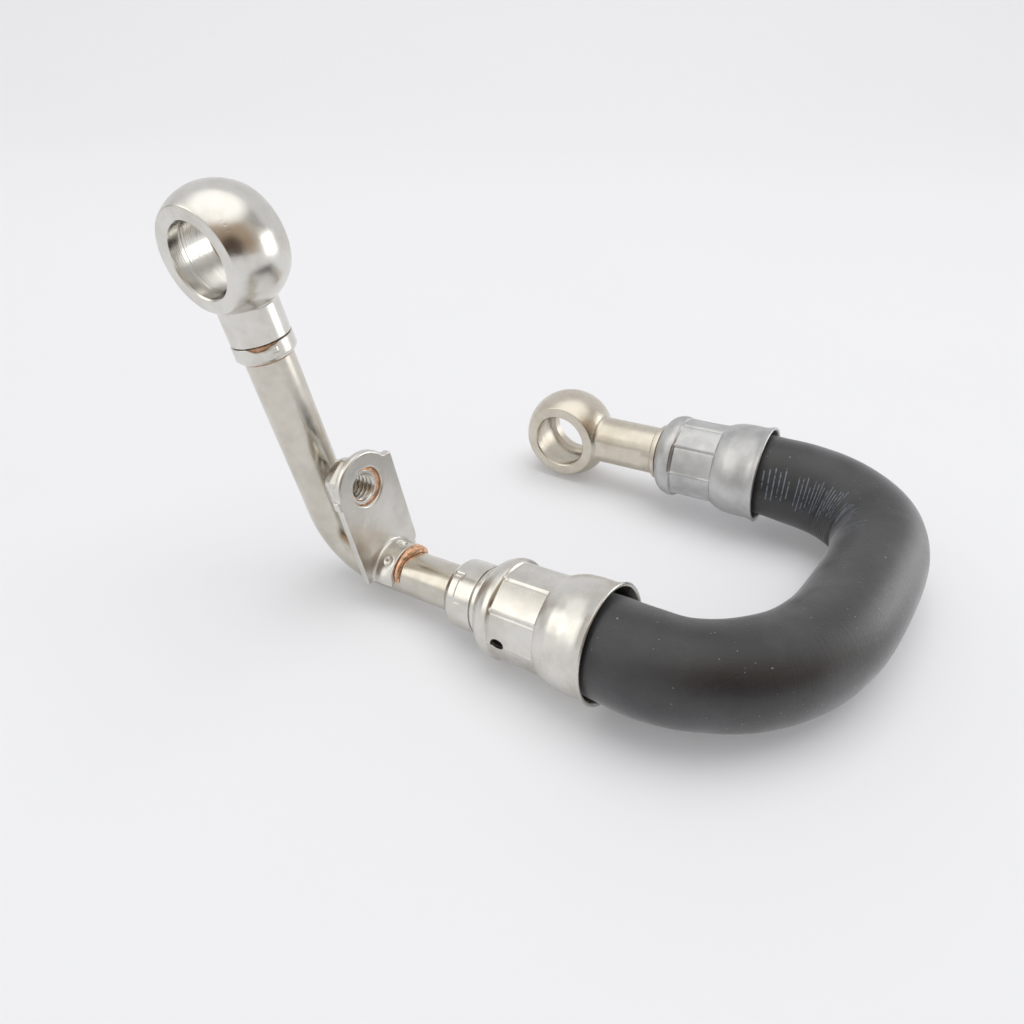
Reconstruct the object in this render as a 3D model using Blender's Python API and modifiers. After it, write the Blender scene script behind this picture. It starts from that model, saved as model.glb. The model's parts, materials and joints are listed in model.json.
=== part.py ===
"""Coolant line: a bent tube with a brazed eye fitting and a bracket, joined by crimped ferrules
to a moulded rubber hose that turns back to a second eye fitting.

The assembly is modelled as it rests on a flat surface: +Z is up, and the origin is under the
middle of its bounding box, on that surface. Sizes are in millimetres and MM turns them into metres.
"""

import math

import bmesh
import bpy
from mathutils import Matrix, Vector

MM = 0.001

# Steel tube
TUBE_OD = 10.0
TUBE_WALL = 1.0
UPRIGHT_HEADING = -163.7
UPRIGHT_RISE = 76.6
UPRIGHT_LENGTH = 71.2
RUN_HEADING = -35.1
RUN_RISE = 6.9
BEND_RADIUS = 13.0

# Eye fittings
EYE_BALL = 23.8
EYE_WIDTH = 13.5
EYE_BORE = 14.2
EYE_CHAMBER = 16.6
EYE_LIP = 2.6
EYE_CHAMFER = 0.3
EYE_PASSAGE = 7.0
UPRIGHT_EYE_HEADING = -121.1
UPRIGHT_EYE_RISE = -10.0
FAR_EYE_HEADING = -120.6
FAR_EYE_RISE = -2.6

# Socket under the upright eye
FIT_GAP = 0.3
SOCKET_WALL = 0.7
SOCKET_OD = TUBE_OD + 2 * (FIT_GAP + SOCKET_WALL)
SOCKET_LENGTH = 17.4
SOCKET_DEPTH = 4.6
RING_WALL = 0.9
RING_OD = TUBE_OD + 2 * (FIT_GAP + RING_WALL)
RING_LENGTH = 2.6
RING_CHAMFER = 0.7
BRAZE = 0.4

# Hose nipple and the tails inside the hose
RUN_TO_MOUTH = 70.4
COLLAR_OD = 14.7
COLLAR_LENGTH = 7.2
COLLAR_CHAMFER = 1.1
FLANGE_LENGTH = 1.0
FLANGE_GROOVE = 0.4
GROOVE_DEPTH = 0.5
GRIP_OD = 12.4
TAIL_OD = 11.0
TAIL_ROOT = 10.0
TAIL_BORE = 7.0
TAIL_SHORT_OF_MOUTH = 4.0
TAIL_BARBS = 3
NECK_OD = 12.3
FAR_FLANGE_OD = 14.2

# Ferrules, measured back from the mouth
FERRULE_LENGTH = 26.8
FERRULE_WALL = 0.8
FERRULE_RIM = 24.1
FERRULE_BELL = 23.2
FERRULE_WAIST = 22.8
FERRULE_CRIMP = 20.4
FERRULE_BEAD = 20.9
CRIMP_START = 11.2
CRIMP_END = 21.7
CRIMP_FLATS = 9
NEAR_CRIMP_TURN = -57.5
FAR_CRIMP_TURN = -50.0
CRIMP_SINK = 0.55
SIGHT_HOLE = 2.4
SIGHT_HOLE_BACK = 2.3
SIGHT_HOLE_TURN = -95.6

# Hose
HOSE_OD = 20.7
HOSE_BORE = 11.6
HOSE_MOUTH_OD = 19.9
HOSE_CRIMPED_OD = 17.1
HOSE_SHORT_OF_END = 1.6
TURN_STARTS_INSIDE = 9.0
GUIDE = 4.0
FAR_MOUTH = (43.7, 61.4, 3.1)
FAR_HEADING = 149.3
FAR_RISE = -3.6
FAR_MOUTH_TO_EYE = 54.9
# The turn of the hose, as points from the near mouth and then from the far one
HOSE_TURN_NEAR = (
    (-0.4, -0.6, -0.2),
    (12.5, -6.8, -1.1),
    (30.5, -2.7, -1.7),
    (40.5, 4.0, -1.8),
    (49.6, 14.3, -1.8),
)
HOSE_TURN_FAR = ((19.8, -24.8, -4.7), (20.7, -15.4, -3.6), (15.0, -6.6, -2.0), (0.4, 0.6, -0.3))

# Bracket: a strip that stands on the tube and leans round it
BRACKET_STATION = 14.9
BRACKET_LEAN = 10.1
BRACKET_THICK = 1.5
BRACKET_WIDTH = 16.7
BRACKET_SHIFT = 0.4
BRACKET_REACH = 21.7
BRACKET_TOP_RADIUS = 7.7
BRACKET_FOOT = 1.0
BRACKET_CORNER = 1.5
BRACKET_NUB = 0.9
BRACKET_HOLE = 8.4
SADDLE_LENGTH = 5.2
SADDLE_WALL = 1.0
SADDLE_FILLET = 1.1
DIMPLE = 1.9
DIMPLE_DEPTH = 0.6
DIMPLE_TURNS = (-33.0, 19.0)
DIMPLE_STATION = 3.2

# Weld nut behind the bracket
NUT_FLATS = 11.6
NUT_LENGTH = 5.6
NUT_THREAD_MINOR = 5.1
NUT_TAPER = 0.9

# Small turns about X and Y, in degrees, that bring the assembly down onto the three points that
# it rests on: the near ferrule's bead, the far eye and the underside of the hose
REST_LEAN = (-0.5, 0.65)

# Facets
STEPS = 30
SMALL_STEPS = 20
TUBE_SIDES = 20
HOSE_SIDES = 20
HOSE_POINTS = 38
BEND_POINTS = 9
BALL_POINTS = 9
OVERSHOOT = 2.0
# A cut runs this far past the face that it opens
CUTTER_REACH = 40.0

COLOURS = {
    "nickel": ((0.60, 0.58, 0.54), 0.30, 1.0),
    "champagne": ((0.58, 0.54, 0.46), 0.32, 1.0),
    "grey_zinc": ((0.50, 0.50, 0.50), 0.42, 1.0),
    "copper": ((0.78, 0.42, 0.24), 0.38, 1.0),
    "rubber": ((0.035, 0.035, 0.037), 0.62, 0.0),
}


def clear_scene():
    for obj in list(bpy.data.objects):
        bpy.data.objects.remove(obj)


def new_collection(name, hidden=False):
    collection = bpy.data.collections.new(name)
    bpy.context.scene.collection.children.link(collection)
    collection.hide_render = hidden
    return collection


def material(name):
    colour, roughness, metallic = COLOURS[name]
    made = bpy.data.materials.get(name) or bpy.data.materials.new(name)
    made.use_nodes = True
    shader = made.node_tree.nodes["Principled BSDF"]
    shader.inputs["Base Color"].default_value = (*colour, 1.0)
    shader.inputs["Roughness"].default_value = roughness
    shader.inputs["Metallic"].default_value = metallic
    return made


def direction(heading, rise):
    """The unit vector that points along a heading from +X, lifted by a rise, both in degrees."""
    across = math.cos(math.radians(rise))
    return Vector(
        (
            across * math.cos(math.radians(heading)),
            across * math.sin(math.radians(heading)),
            math.sin(math.radians(rise)),
        )
    )


def placed(origin, z_axis, x_axis):
    """The matrix, in metres, of a frame at origin whose Z is z_axis and whose X leans to x_axis."""
    z = z_axis.normalized()
    x = (x_axis - x_axis.dot(z) * z).normalized()
    y = z.cross(x)
    turned = Matrix((x, y, z)).transposed().to_4x4()
    return Matrix.Translation(origin * MM) @ turned


def add_object(name, data, matrix, collection, look=None):
    obj = bpy.data.objects.new(name, data)
    collection.objects.link(obj)
    obj.matrix_world = matrix
    if look:
        data.materials.append(material(look))
    return obj


def finish_mesh(mesh, smooth_angle=32.0):
    mesh.shade_smooth()
    mesh.set_sharp_from_angle(angle=math.radians(smooth_angle))
    return mesh


def as_mesh(obj):
    """The object remade as a mesh with its modifiers applied and its loose caps welded."""
    graph = bpy.context.evaluated_depsgraph_get()
    mesh = bpy.data.meshes.new_from_object(obj.evaluated_get(graph))
    shape = bmesh.new()
    shape.from_mesh(mesh)
    bmesh.ops.remove_doubles(shape, verts=shape.verts, dist=1e-6)
    shape.to_mesh(mesh)
    shape.free()
    name, matrix, collection = obj.name, obj.matrix_world.copy(), obj.users_collection[0]
    bpy.data.objects.remove(obj)
    mesh.name = name
    return add_object(name, mesh, matrix, collection)


def turned(name, profile, matrix, collection, look=None, steps=STEPS):
    """A closed profile of (radius, height) in millimetres, turned about the frame's Z.

    The points run down the outer side and back up the inner one, or end on the axis."""
    mesh = bpy.data.meshes.new(name)
    count = len(profile)
    points = [(radius * MM, 0.0, height * MM) for radius, height in profile]
    on_axis = profile[0][0] == 0.0 and profile[-1][0] == 0.0
    edges = [(i, (i + 1) % count) for i in range(count - 1 if on_axis else count)]
    mesh.from_pydata(points, edges, [])
    obj = add_object(name, mesh, matrix, collection)
    screw = obj.modifiers.new("turn", "SCREW")
    screw.steps = steps
    screw.render_steps = steps
    screw.use_merge_vertices = True
    screw.merge_threshold = 0.00001
    obj = as_mesh(obj)
    finish_mesh(obj.data)
    if look:
        obj.data.materials.append(material(look))
    return obj


def pipe_curve(name, points, radii, sides, collection):
    """A capped tube that follows the points with a radius at each, all in millimetres."""
    curve = bpy.data.curves.new(name, "CURVE")
    curve.dimensions = "3D"
    curve.bevel_depth = max(radii) * MM
    curve.bevel_resolution = (sides - 4) // 2
    curve.use_fill_caps = True
    spline = curve.splines.new("POLY")
    spline.points.add(len(points) - 1)
    for slot, point, radius in zip(spline.points, points, radii):
        slot.co = (*(point * MM), 1.0)
        slot.radius = radius / max(radii)
    obj = add_object(name, curve, Matrix.Identity(4), collection)
    obj = as_mesh(obj)
    finish_mesh(obj.data)
    return obj


def combine(obj, other, operation):
    modifier = obj.modifiers.new(operation.lower(), "BOOLEAN")
    modifier.operation = operation
    modifier.solver = "EXACT"
    modifier.object = other
    other.display_type = "WIRE"
    other.hide_render = True


def arc(centre, radius, start, end, count):
    """Points on a circle from one angle to another in degrees, both included."""
    steps = [start + (end - start) * i / (count - 1) for i in range(count)]
    return [
        (
            centre[0] + radius * math.cos(math.radians(angle)),
            centre[1] + radius * math.sin(math.radians(angle)),
        )
        for angle in steps
    ]


def ball_point(radius):
    """The half width of the ball where its outline has this radius."""
    return math.sqrt((EYE_BALL / 2) ** 2 - radius**2)


def eye_bore_cutter(name, matrix, cutters):
    """A spool that trims the ball to width and cuts the bore with its chamber between two lips."""
    half = EYE_WIDTH / 2
    bore = EYE_BORE / 2
    chamber = EYE_CHAMBER / 2
    lip = half - EYE_LIP
    slope = chamber - bore
    reach = EYE_BALL
    profile = [
        (0.0, reach),
        (reach, reach),
        (reach, half),
        (bore + EYE_CHAMFER, half),
        (bore, half - EYE_CHAMFER),
        (bore, lip),
        (chamber, lip - slope / 2),
        (chamber, -lip + slope / 2),
        (bore, -lip),
        (bore, -half + EYE_CHAMFER),
        (bore + EYE_CHAMFER, -half),
        (reach, -half),
        (reach, -reach),
        (0.0, -reach),
    ]
    return turned(name, profile, matrix, cutters)


def ball_outline(neck_radius):
    """The ball from its far pole to where the neck leaves it, as (radius, height)."""
    start = 90.0
    end = -math.degrees(math.acos(neck_radius / (EYE_BALL / 2)))
    points = arc((0.0, 0.0), EYE_BALL / 2, start, end, 2 * BALL_POINTS)
    points[0] = (0.0, EYE_BALL / 2)
    return points


def upright_eye(frames, parts, cutters):
    """Eye fitting at the top of the tube: a ball, its bore and the socket that holds the tube."""
    neck = SOCKET_OD / 2
    profile = ball_outline(neck) + [
        (neck, -SOCKET_LENGTH + EYE_CHAMFER),
        (neck - EYE_CHAMFER, -SOCKET_LENGTH),
        (0.0, -SOCKET_LENGTH),
    ]
    eye = turned("upright_eye", profile, frames["upright_neck"], parts, "nickel")
    socket = TUBE_OD / 2 + FIT_GAP
    passage = EYE_PASSAGE / 2
    floor = -SOCKET_LENGTH + SOCKET_DEPTH
    bore = [
        (0.0, 0.0),
        (passage, 0.0),
        (passage, floor),
        (socket, floor),
        (socket, -SOCKET_LENGTH - OVERSHOOT),
        (0.0, -SOCKET_LENGTH - OVERSHOOT),
    ]
    cut = turned("upright_socket_cut", bore, frames["upright_neck"], cutters, steps=SMALL_STEPS)
    combine(eye, eye_bore_cutter("upright_bore_cut", frames["upright_eye"], cutters), "DIFFERENCE")
    combine(eye, cut, "DIFFERENCE")
    return eye


def washer(name, inner, outer, low, high, matrix, parts, look, steps=SMALL_STEPS):
    """A plain ring between two heights, all in millimetres."""
    profile = [(outer, high), (outer, low), (inner, low), (inner, high)]
    return turned(name, profile, matrix, parts, look, steps)


def socket_rings(frames, parts):
    """The locating ring under the socket, and the braze above and below it."""
    inner = TUBE_OD / 2 + FIT_GAP
    frame = frames["upright_neck"]
    high = -SOCKET_LENGTH - FIT_GAP
    low = high - BRAZE
    braze_outer = SOCKET_OD / 2 - 0.25
    washer("socket_braze", inner, braze_outer, low, high, frame, parts, "copper")
    top = low - FIT_GAP
    bottom = top - RING_LENGTH
    outer = RING_OD / 2
    profile = [
        (outer - 0.1, top),
        (outer, bottom + RING_CHAMFER),
        (outer - RING_CHAMFER, bottom),
        (inner, bottom),
        (inner, top),
    ]
    turned("locating_ring", profile, frame, parts, "nickel")
    high = bottom - FIT_GAP
    fillet = [(inner + BRAZE, high), (inner + 0.1, high - BRAZE), (inner, high - BRAZE), (inner, high)]
    turned("ring_braze", fillet, frame, parts, "copper", SMALL_STEPS)


def tube_route(geometry):
    """The centre line of the steel tube, from inside the upright socket to inside the nipple."""
    corner, up, run = geometry["corner"], geometry["up"], geometry["run"]
    turn = math.pi - up.angle(run)
    tangent = BEND_RADIUS * math.tan(turn / 2)
    centre = corner + (up + run).normalized() * math.hypot(BEND_RADIUS, tangent)
    first = corner + up * tangent - centre
    axis = first.cross(corner + run * tangent - centre).normalized()
    bend = [
        centre + Matrix.Rotation(turn * i / (BEND_POINTS - 1), 3, axis) @ first
        for i in range(BEND_POINTS)
    ]
    top = UPRIGHT_LENGTH - SOCKET_LENGTH + SOCKET_DEPTH - FIT_GAP
    end = geometry["socket_floor"] - FIT_GAP
    return [corner + up * top, *bend, corner + run * end]


def extended(points, extra):
    """The same points with the two ends moved outwards along the route."""
    first = points[0] + (points[0] - points[1]).normalized() * extra
    last = points[-1] + (points[-1] - points[-2]).normalized() * extra
    return [first, *points[1:-1], last]


def steel_tube(geometry, parts, cutters):
    route = tube_route(geometry)
    outer = TUBE_OD / 2
    tube = pipe_curve("steel_tube", route, [outer] * len(route), TUBE_SIDES, parts)
    tube.data.materials.append(material("nickel"))
    bore = outer - TUBE_WALL
    inside = extended(route, OVERSHOOT)
    cut = pipe_curve("tube_bore_cut", inside, [bore] * len(route), TUBE_SIDES, cutters)
    combine(tube, cut, "DIFFERENCE")


def tail_profile():
    """The tail inside the hose, from its tip to the grip groove, as (radius, distance back)."""
    tip = TAIL_SHORT_OF_MOUTH
    root = TAIL_ROOT / 2
    barb = TAIL_OD / 2
    end = FERRULE_LENGTH - FERRULE_WALL - HOSE_SHORT_OF_END
    pitch = (CRIMP_END - CRIMP_START) / TAIL_BARBS
    points = [(root - EYE_CHAMFER, tip), (root, tip + EYE_CHAMFER)]
    for i in range(TAIL_BARBS):
        start = CRIMP_START + pitch * i
        points += [(root, start), (barb, start + pitch * 0.75), (barb, start + pitch * 0.9)]
        points += [(root, start + pitch * 0.95)]
    return points + [(root, end), (GRIP_OD / 2, end)]


def hose_nipple(frames, parts, cutters):
    """Turned nipple: the collar that the tube is brazed into, its flange and the barbed tail."""
    collar = COLLAR_OD / 2
    back = FERRULE_LENGTH + FIT_GAP
    groove = back + FLANGE_LENGTH
    start = groove + FLANGE_GROOVE
    end = start + COLLAR_LENGTH
    profile = tail_profile() + [
        (GRIP_OD / 2, back),
        (collar, back),
        (collar, groove),
        (collar - GROOVE_DEPTH, groove),
        (collar - GROOVE_DEPTH, start),
        (collar, start),
        (collar, end - COLLAR_CHAMFER),
        (collar - COLLAR_CHAMFER, end),
    ]
    profile = [(0.0, profile[0][1])] + profile + [(0.0, end)]
    nipple = turned("hose_nipple", profile[::-1], frames["near_mouth"], parts, "nickel")
    socket = TUBE_OD / 2 + FIT_GAP
    bore = TAIL_BORE / 2
    cut = [
        (0.0, end + OVERSHOOT),
        (socket, end + OVERSHOOT),
        (socket, start),
        (bore, start - 1.5),
        (bore, 0.0),
        (0.0, 0.0),
    ]
    frame = frames["near_mouth"]
    combine(nipple, turned("nipple_bore_cut", cut, frame, cutters, steps=SMALL_STEPS), "DIFFERENCE")


def far_eye(frames, parts, cutters):
    """Second eye fitting, turned in one with its neck, its flange pair and its barbed tail."""
    neck = NECK_OD / 2
    flange = FAR_FLANGE_OD / 2
    back = FERRULE_LENGTH + FIT_GAP
    groove = back + FLANGE_LENGTH
    foot = groove + FLANGE_LENGTH
    ball = [(r, FAR_MOUTH_TO_EYE + h) for r, h in ball_outline(neck)]
    profile = tail_profile() + [
        (GRIP_OD / 2, back),
        (flange, back),
        (flange, groove),
        (flange - GROOVE_DEPTH, groove + FLANGE_GROOVE / 2),
        (flange - GROOVE_DEPTH, foot),
        (neck, foot + GROOVE_DEPTH),
    ]
    profile = [(0.0, profile[0][1])] + profile
    eye = turned("far_eye", ball + profile[::-1], frames["far_mouth"], parts, "champagne")
    bore = TAIL_BORE / 2
    cut = [(0.0, FAR_MOUTH_TO_EYE), (bore, FAR_MOUTH_TO_EYE), (bore, 0.0), (0.0, 0.0)]
    passage = turned("far_passage_cut", cut, frames["far_mouth"], cutters, steps=SMALL_STEPS)
    combine(eye, eye_bore_cutter("far_bore_cut", frames["far_eye"], cutters), "DIFFERENCE")
    combine(eye, passage, "DIFFERENCE")


def ferrule_outline():
    """The outer side of a ferrule as (distance back from the mouth, radius)."""
    crimp = FERRULE_CRIMP / 2
    return [
        (0.0, FERRULE_RIM / 2),
        (0.6, FERRULE_RIM / 2),
        (1.4, FERRULE_WAIST / 2 + 0.1),
        (2.6, FERRULE_WAIST / 2),
        (5.4, FERRULE_BELL / 2),
        (8.0, FERRULE_BELL / 2 - 0.3),
        (CRIMP_START - 1.6, crimp + 0.6),
        (CRIMP_START, crimp),
        ((CRIMP_START + CRIMP_END) / 2, crimp),
        (CRIMP_END, crimp),
        (CRIMP_END + 0.8, FERRULE_BEAD / 2),
        (CRIMP_END + 2.0, FERRULE_BEAD / 2 - 0.2),
        (FERRULE_LENGTH - 1.5, FERRULE_BEAD / 2 - 1.0),
        (FERRULE_LENGTH - 0.4, FERRULE_BEAD / 2 - 2.1),
        (FERRULE_LENGTH, COLLAR_OD / 2),
    ]


def press_flats(mesh, turn):
    """Presses the crimped length to a polygon: the radius peaks at a ridge, one of which lies at
    turn in degrees, and falls to the flats between them."""
    for vertex in mesh.vertices:
        back = vertex.co.z / MM
        if not CRIMP_START + 0.1 < back < CRIMP_END - 0.1:
            continue
        angle = math.atan2(vertex.co.y, vertex.co.x)
        half = math.pi / CRIMP_FLATS
        from_flat = (angle - math.radians(turn)) % (2 * half) - half
        flat = math.cos(half) / math.cos(from_flat)
        radius = math.hypot(vertex.co.x, vertex.co.y) / MM
        sink = (1.0 - flat) / (1.0 - math.cos(half)) * CRIMP_SINK
        scale = (radius - sink) / radius
        vertex.co.x *= scale
        vertex.co.y *= scale


def ferrule(name, matrix, turn, parts, look):
    """A pressed sleeve: rounded end, crimped length with flats, flared bell and out-turned rim."""
    outline = ferrule_outline()
    inner = [
        (back, radius - FERRULE_WALL)
        for back, radius in outline
        if back <= FERRULE_LENGTH - FERRULE_WALL - 0.5
    ]
    grip = GRIP_OD / 2 + FIT_GAP
    end = [
        (FERRULE_LENGTH - FERRULE_WALL, FERRULE_BEAD / 2 - 2.6),
        (FERRULE_LENGTH - FERRULE_WALL, grip),
        (FERRULE_LENGTH, grip),
    ]
    mid = (CRIMP_START + CRIMP_END) / 2
    fine = [CRIMP_START + 0.5, mid, CRIMP_END - 0.5]

    def with_crimp_rows(side):
        kept = [p for p in side if p[0] != mid]
        radius = next(r for back, r in side if back == mid)
        return sorted(kept + [(back, radius) for back in fine])

    outer_side = with_crimp_rows(outline)
    inner_side = with_crimp_rows(inner)
    loop = outer_side[::-1] + inner_side + end
    profile = [(radius, back) for back, radius in loop]
    obj = turned(name, profile, matrix, parts, look)
    press_flats(obj.data, turn)
    return obj


def sight_hole(obj, frame, cutters):
    """The round hole through the sleeve, by which the hose is seen to be home."""
    back = CRIMP_END - SIGHT_HOLE_BACK
    radius = SIGHT_HOLE / 2
    turn = Matrix.Rotation(math.radians(SIGHT_HOLE_TURN), 4, "Z")
    shift = Matrix.Translation((0.0, 0.0, back * MM))
    tip = Matrix.Rotation(math.radians(90.0), 4, "Y")
    inside = FERRULE_CRIMP / 2 - 2 * FERRULE_WALL
    profile = [(0.0, FERRULE_RIM / 2), (radius, FERRULE_RIM / 2), (radius, inside), (0.0, inside)]
    matrix = frame @ turn @ shift @ tip
    combine(obj, turned("sight_hole_cut", profile, matrix, cutters, steps=SMALL_STEPS), "DIFFERENCE")


def smooth_route(points, count):
    """Evenly spread points on the curve through the given ones, each stretch a cubic whose end
    slopes follow its neighbours, timed by the root of the distance between points."""
    times = [0.0]
    for a, b in zip(points, points[1:]):
        times.append(times[-1] + math.sqrt((b - a).length))

    def at(time):
        i = max(1, min(len(points) - 3, next(k for k, t in enumerate(times[1:]) if t >= time)))
        p, t = points[i - 1 : i + 3], times[i - 1 : i + 3]
        a1 = p[0].lerp(p[1], (time - t[0]) / (t[1] - t[0]))
        a2 = p[1].lerp(p[2], (time - t[1]) / (t[2] - t[1]))
        a3 = p[2].lerp(p[3], (time - t[2]) / (t[3] - t[2]))
        b1 = a1.lerp(a2, (time - t[0]) / (t[2] - t[0]))
        b2 = a2.lerp(a3, (time - t[1]) / (t[3] - t[1]))
        return b1.lerp(b2, (time - t[1]) / (t[2] - t[1]))

    fine = [at(times[1] + (times[-2] - times[1]) * i / 400) for i in range(401)]
    run = [0.0]
    for a, b in zip(fine, fine[1:]):
        run.append(run[-1] + (b - a).length)
    spread = []
    k = 0
    for i in range(count):
        wanted = run[-1] * i / (count - 1)
        while k < len(run) - 2 and run[k + 1] < wanted:
            k += 1
        share = (wanted - run[k]) / (run[k + 1] - run[k])
        spread.append(fine[k].lerp(fine[k + 1], share))
    return spread


def hose_radius(back):
    """The hose's outer radius where it lies this far back inside a ferrule, or outside if below 0."""
    crimped, mouth, free = HOSE_CRIMPED_OD / 2, HOSE_MOUTH_OD / 2, HOSE_OD / 2
    if back >= CRIMP_START - 1.0:
        return crimped
    if back >= 0.0:
        share = 1.0 - back / (CRIMP_START - 1.0)
        return crimped + (mouth - crimped) * math.sqrt(share)
    return mouth + (free - mouth) * min(1.0, -back / 9.0)


def hose(geometry, parts, cutters):
    """Moulded hose: straight in both ferrules, with one smooth turn between their mouths."""
    near, far = geometry["near_mouth"], geometry["far_mouth"]
    run, tail = geometry["run"], geometry["tail"]
    depth = FERRULE_LENGTH - FERRULE_WALL - HOSE_SHORT_OF_END
    start, guide = TURN_STARTS_INSIDE, TURN_STARTS_INSIDE + GUIDE
    turn = [near + Vector(point) for point in HOSE_TURN_NEAR]
    turn += [far + Vector(point) for point in HOSE_TURN_FAR]
    into_near = [near - run * guide, near - run * start]
    into_far = [far + tail * start, far + tail * guide]
    bend = smooth_route(into_near + turn + into_far, int(HOSE_POINTS))
    inside = (depth, CRIMP_START - 1.0, CRIMP_START - 2.0)
    points = [near - run * back for back in inside] + bend
    points += [far + tail * back for back in inside[::-1]]
    done = [0.0]
    for a, b in zip(bend, bend[1:]):
        done.append(done[-1] + (b - a).length)
    radii = [hose_radius(back) for back in inside]
    radii += [hose_radius(start - min(d, done[-1] - d)) for d in done]
    radii += [hose_radius(back) for back in inside[::-1]]
    body = pipe_curve("coolant_hose", points, radii, HOSE_SIDES, parts)
    body.data.materials.append(material("rubber"))
    route = extended(points, OVERSHOOT)
    bore = [HOSE_BORE / 2] * len(points)
    combine(body, pipe_curve("hose_bore_cut", route, bore, HOSE_SIDES, cutters), "DIFFERENCE")


def strip_outline():
    """The bracket's outline about the nut's axis: a strip with a round top and shoulder nubs."""
    half = BRACKET_WIDTH / 2
    foot = BRACKET_FOOT - BRACKET_REACH
    corner = BRACKET_CORNER
    nub = BRACKET_NUB
    low, high = BRACKET_SHIFT - half, BRACKET_SHIFT + half
    right = arc((high - corner, foot + corner), corner, -90.0, 0.0, 4)
    left = arc((low + corner, foot + corner), corner, 180.0, 270.0, 4)
    right_nub = arc((high - nub, 2.6), nub, 0.0, 80.0, 4)
    left_nub = arc((low + nub, 0.4), nub, 100.0, 180.0, 4)
    top = arc((0.0, 0.0), BRACKET_TOP_RADIUS, 30.0, 164.0, 14)
    return right + right_nub + top + left_nub + left


def bracket(geometry, frames, parts, cutters):
    """Blanked plate with a half-round saddle drawn from its foot, which sits on the tube."""
    curve = bpy.data.curves.new("bracket", "CURVE")
    curve.dimensions = "2D"
    curve.fill_mode = "BOTH"
    curve.extrude = BRACKET_THICK / 2 * MM
    spline = curve.splines.new("POLY")
    outline = strip_outline()
    spline.points.add(len(outline) - 1)
    spline.use_cyclic_u = True
    for slot, (x, y) in zip(spline.points, outline):
        slot.co = (x * MM, (y + BRACKET_REACH) * MM, 0.0, 1.0)
    frame = frames["bracket"]
    middle = frame @ Matrix.Translation((0.0, 0.0, -BRACKET_THICK / 2 * MM))
    plate = as_mesh(add_object("bracket", curve, middle, parts))
    finish_mesh(plate.data, 30.0)
    plate.data.materials.append(material("nickel"))
    inner = TUBE_OD / 2 + FIT_GAP
    outer = inner + SADDLE_WALL
    fillet = arc((outer + SADDLE_FILLET, SADDLE_FILLET), SADDLE_FILLET, 180.0, 270.0, 5)
    profile = [(outer, SADDLE_LENGTH), *fillet]
    profile += [(outer + SADDLE_FILLET, -BRACKET_THICK * 0.9), (inner - 0.5, -BRACKET_THICK * 0.9)]
    profile += [(inner - 0.5, SADDLE_LENGTH)]
    saddle = turned("saddle_join", profile, frame, cutters)
    combine(plate, saddle, "UNION")
    low = SADDLE_LENGTH * 4
    tube_cut = [(inner, low), (inner, -low), (0.0, -low)]
    tube_cut = [(0.0, low)] + tube_cut
    combine(plate, turned("bracket_tube_cut", tube_cut, frame, cutters), "DIFFERENCE")
    below = bpy.data.meshes.new("foot_cut")
    shape = bmesh.new()
    bmesh.ops.create_cube(shape, size=CUTTER_REACH * MM)
    shape.to_mesh(below)
    shape.free()
    drop = Matrix.Translation((0.0, (BRACKET_FOOT - CUTTER_REACH / 2) * MM, 0.0))
    combine(plate, add_object("foot_cut", below, frame @ drop, cutters), "DIFFERENCE")
    hole = BRACKET_HOLE / 2
    nut_cut = [(0.0, OVERSHOOT), (hole, OVERSHOOT), (hole, -BRACKET_THICK - OVERSHOOT)]
    nut_cut += [(0.0, -BRACKET_THICK - OVERSHOOT)]
    cut = turned("bracket_hole_cut", nut_cut, frames["nut"], cutters)
    combine(plate, cut, "DIFFERENCE")
    for i, turn in enumerate(DIMPLE_TURNS):
        punch = dimple_cutter(f"dimple_cut_{i}", frame, turn, outer, cutters)
        combine(plate, punch, "DIFFERENCE")


def dimple_cutter(name, frame, turn, outer, cutters):
    """A blunt cone that marks the saddle where it was staked to the tube."""
    radius = DIMPLE / 2
    profile = [
        (0.0, outer + OVERSHOOT),
        (radius, outer + OVERSHOOT),
        (radius, outer),
        (radius * 0.4, outer - DIMPLE_DEPTH),
        (0.0, outer - DIMPLE_DEPTH),
    ]
    about = Matrix.Rotation(math.radians(90.0 - turn), 4, "Z")
    shift = Matrix.Translation((0.0, 0.0, DIMPLE_STATION * MM))
    tip = Matrix.Rotation(math.radians(90.0), 4, "Y")
    return turned(name, profile, frame @ about @ shift @ tip, cutters, steps=12)


def saddle_braze(frames, parts, cutters):
    """The bead of braze that closes the end of the saddle against the tube."""
    inner = TUBE_OD / 2 + FIT_GAP
    outer = inner + SADDLE_WALL
    low = SADDLE_LENGTH + FIT_GAP
    frame = frames["bracket"]
    profile = [(outer - 0.1, low), (inner, low), (inner, low + 1.1), (inner + 0.2, low + 1.1)]
    bead = turned("saddle_braze", profile[::-1], frame, parts, "copper", SMALL_STEPS)
    below = bpy.data.meshes.new("braze_foot_cut")
    shape = bmesh.new()
    bmesh.ops.create_cube(shape, size=CUTTER_REACH * MM)
    shape.to_mesh(below)
    shape.free()
    drop = Matrix.Translation((0.0, (BRACKET_FOOT - CUTTER_REACH / 2) * MM, 0.0))
    combine(bead, add_object("braze_foot_cut", below, frame @ drop, cutters), "DIFFERENCE")


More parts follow.
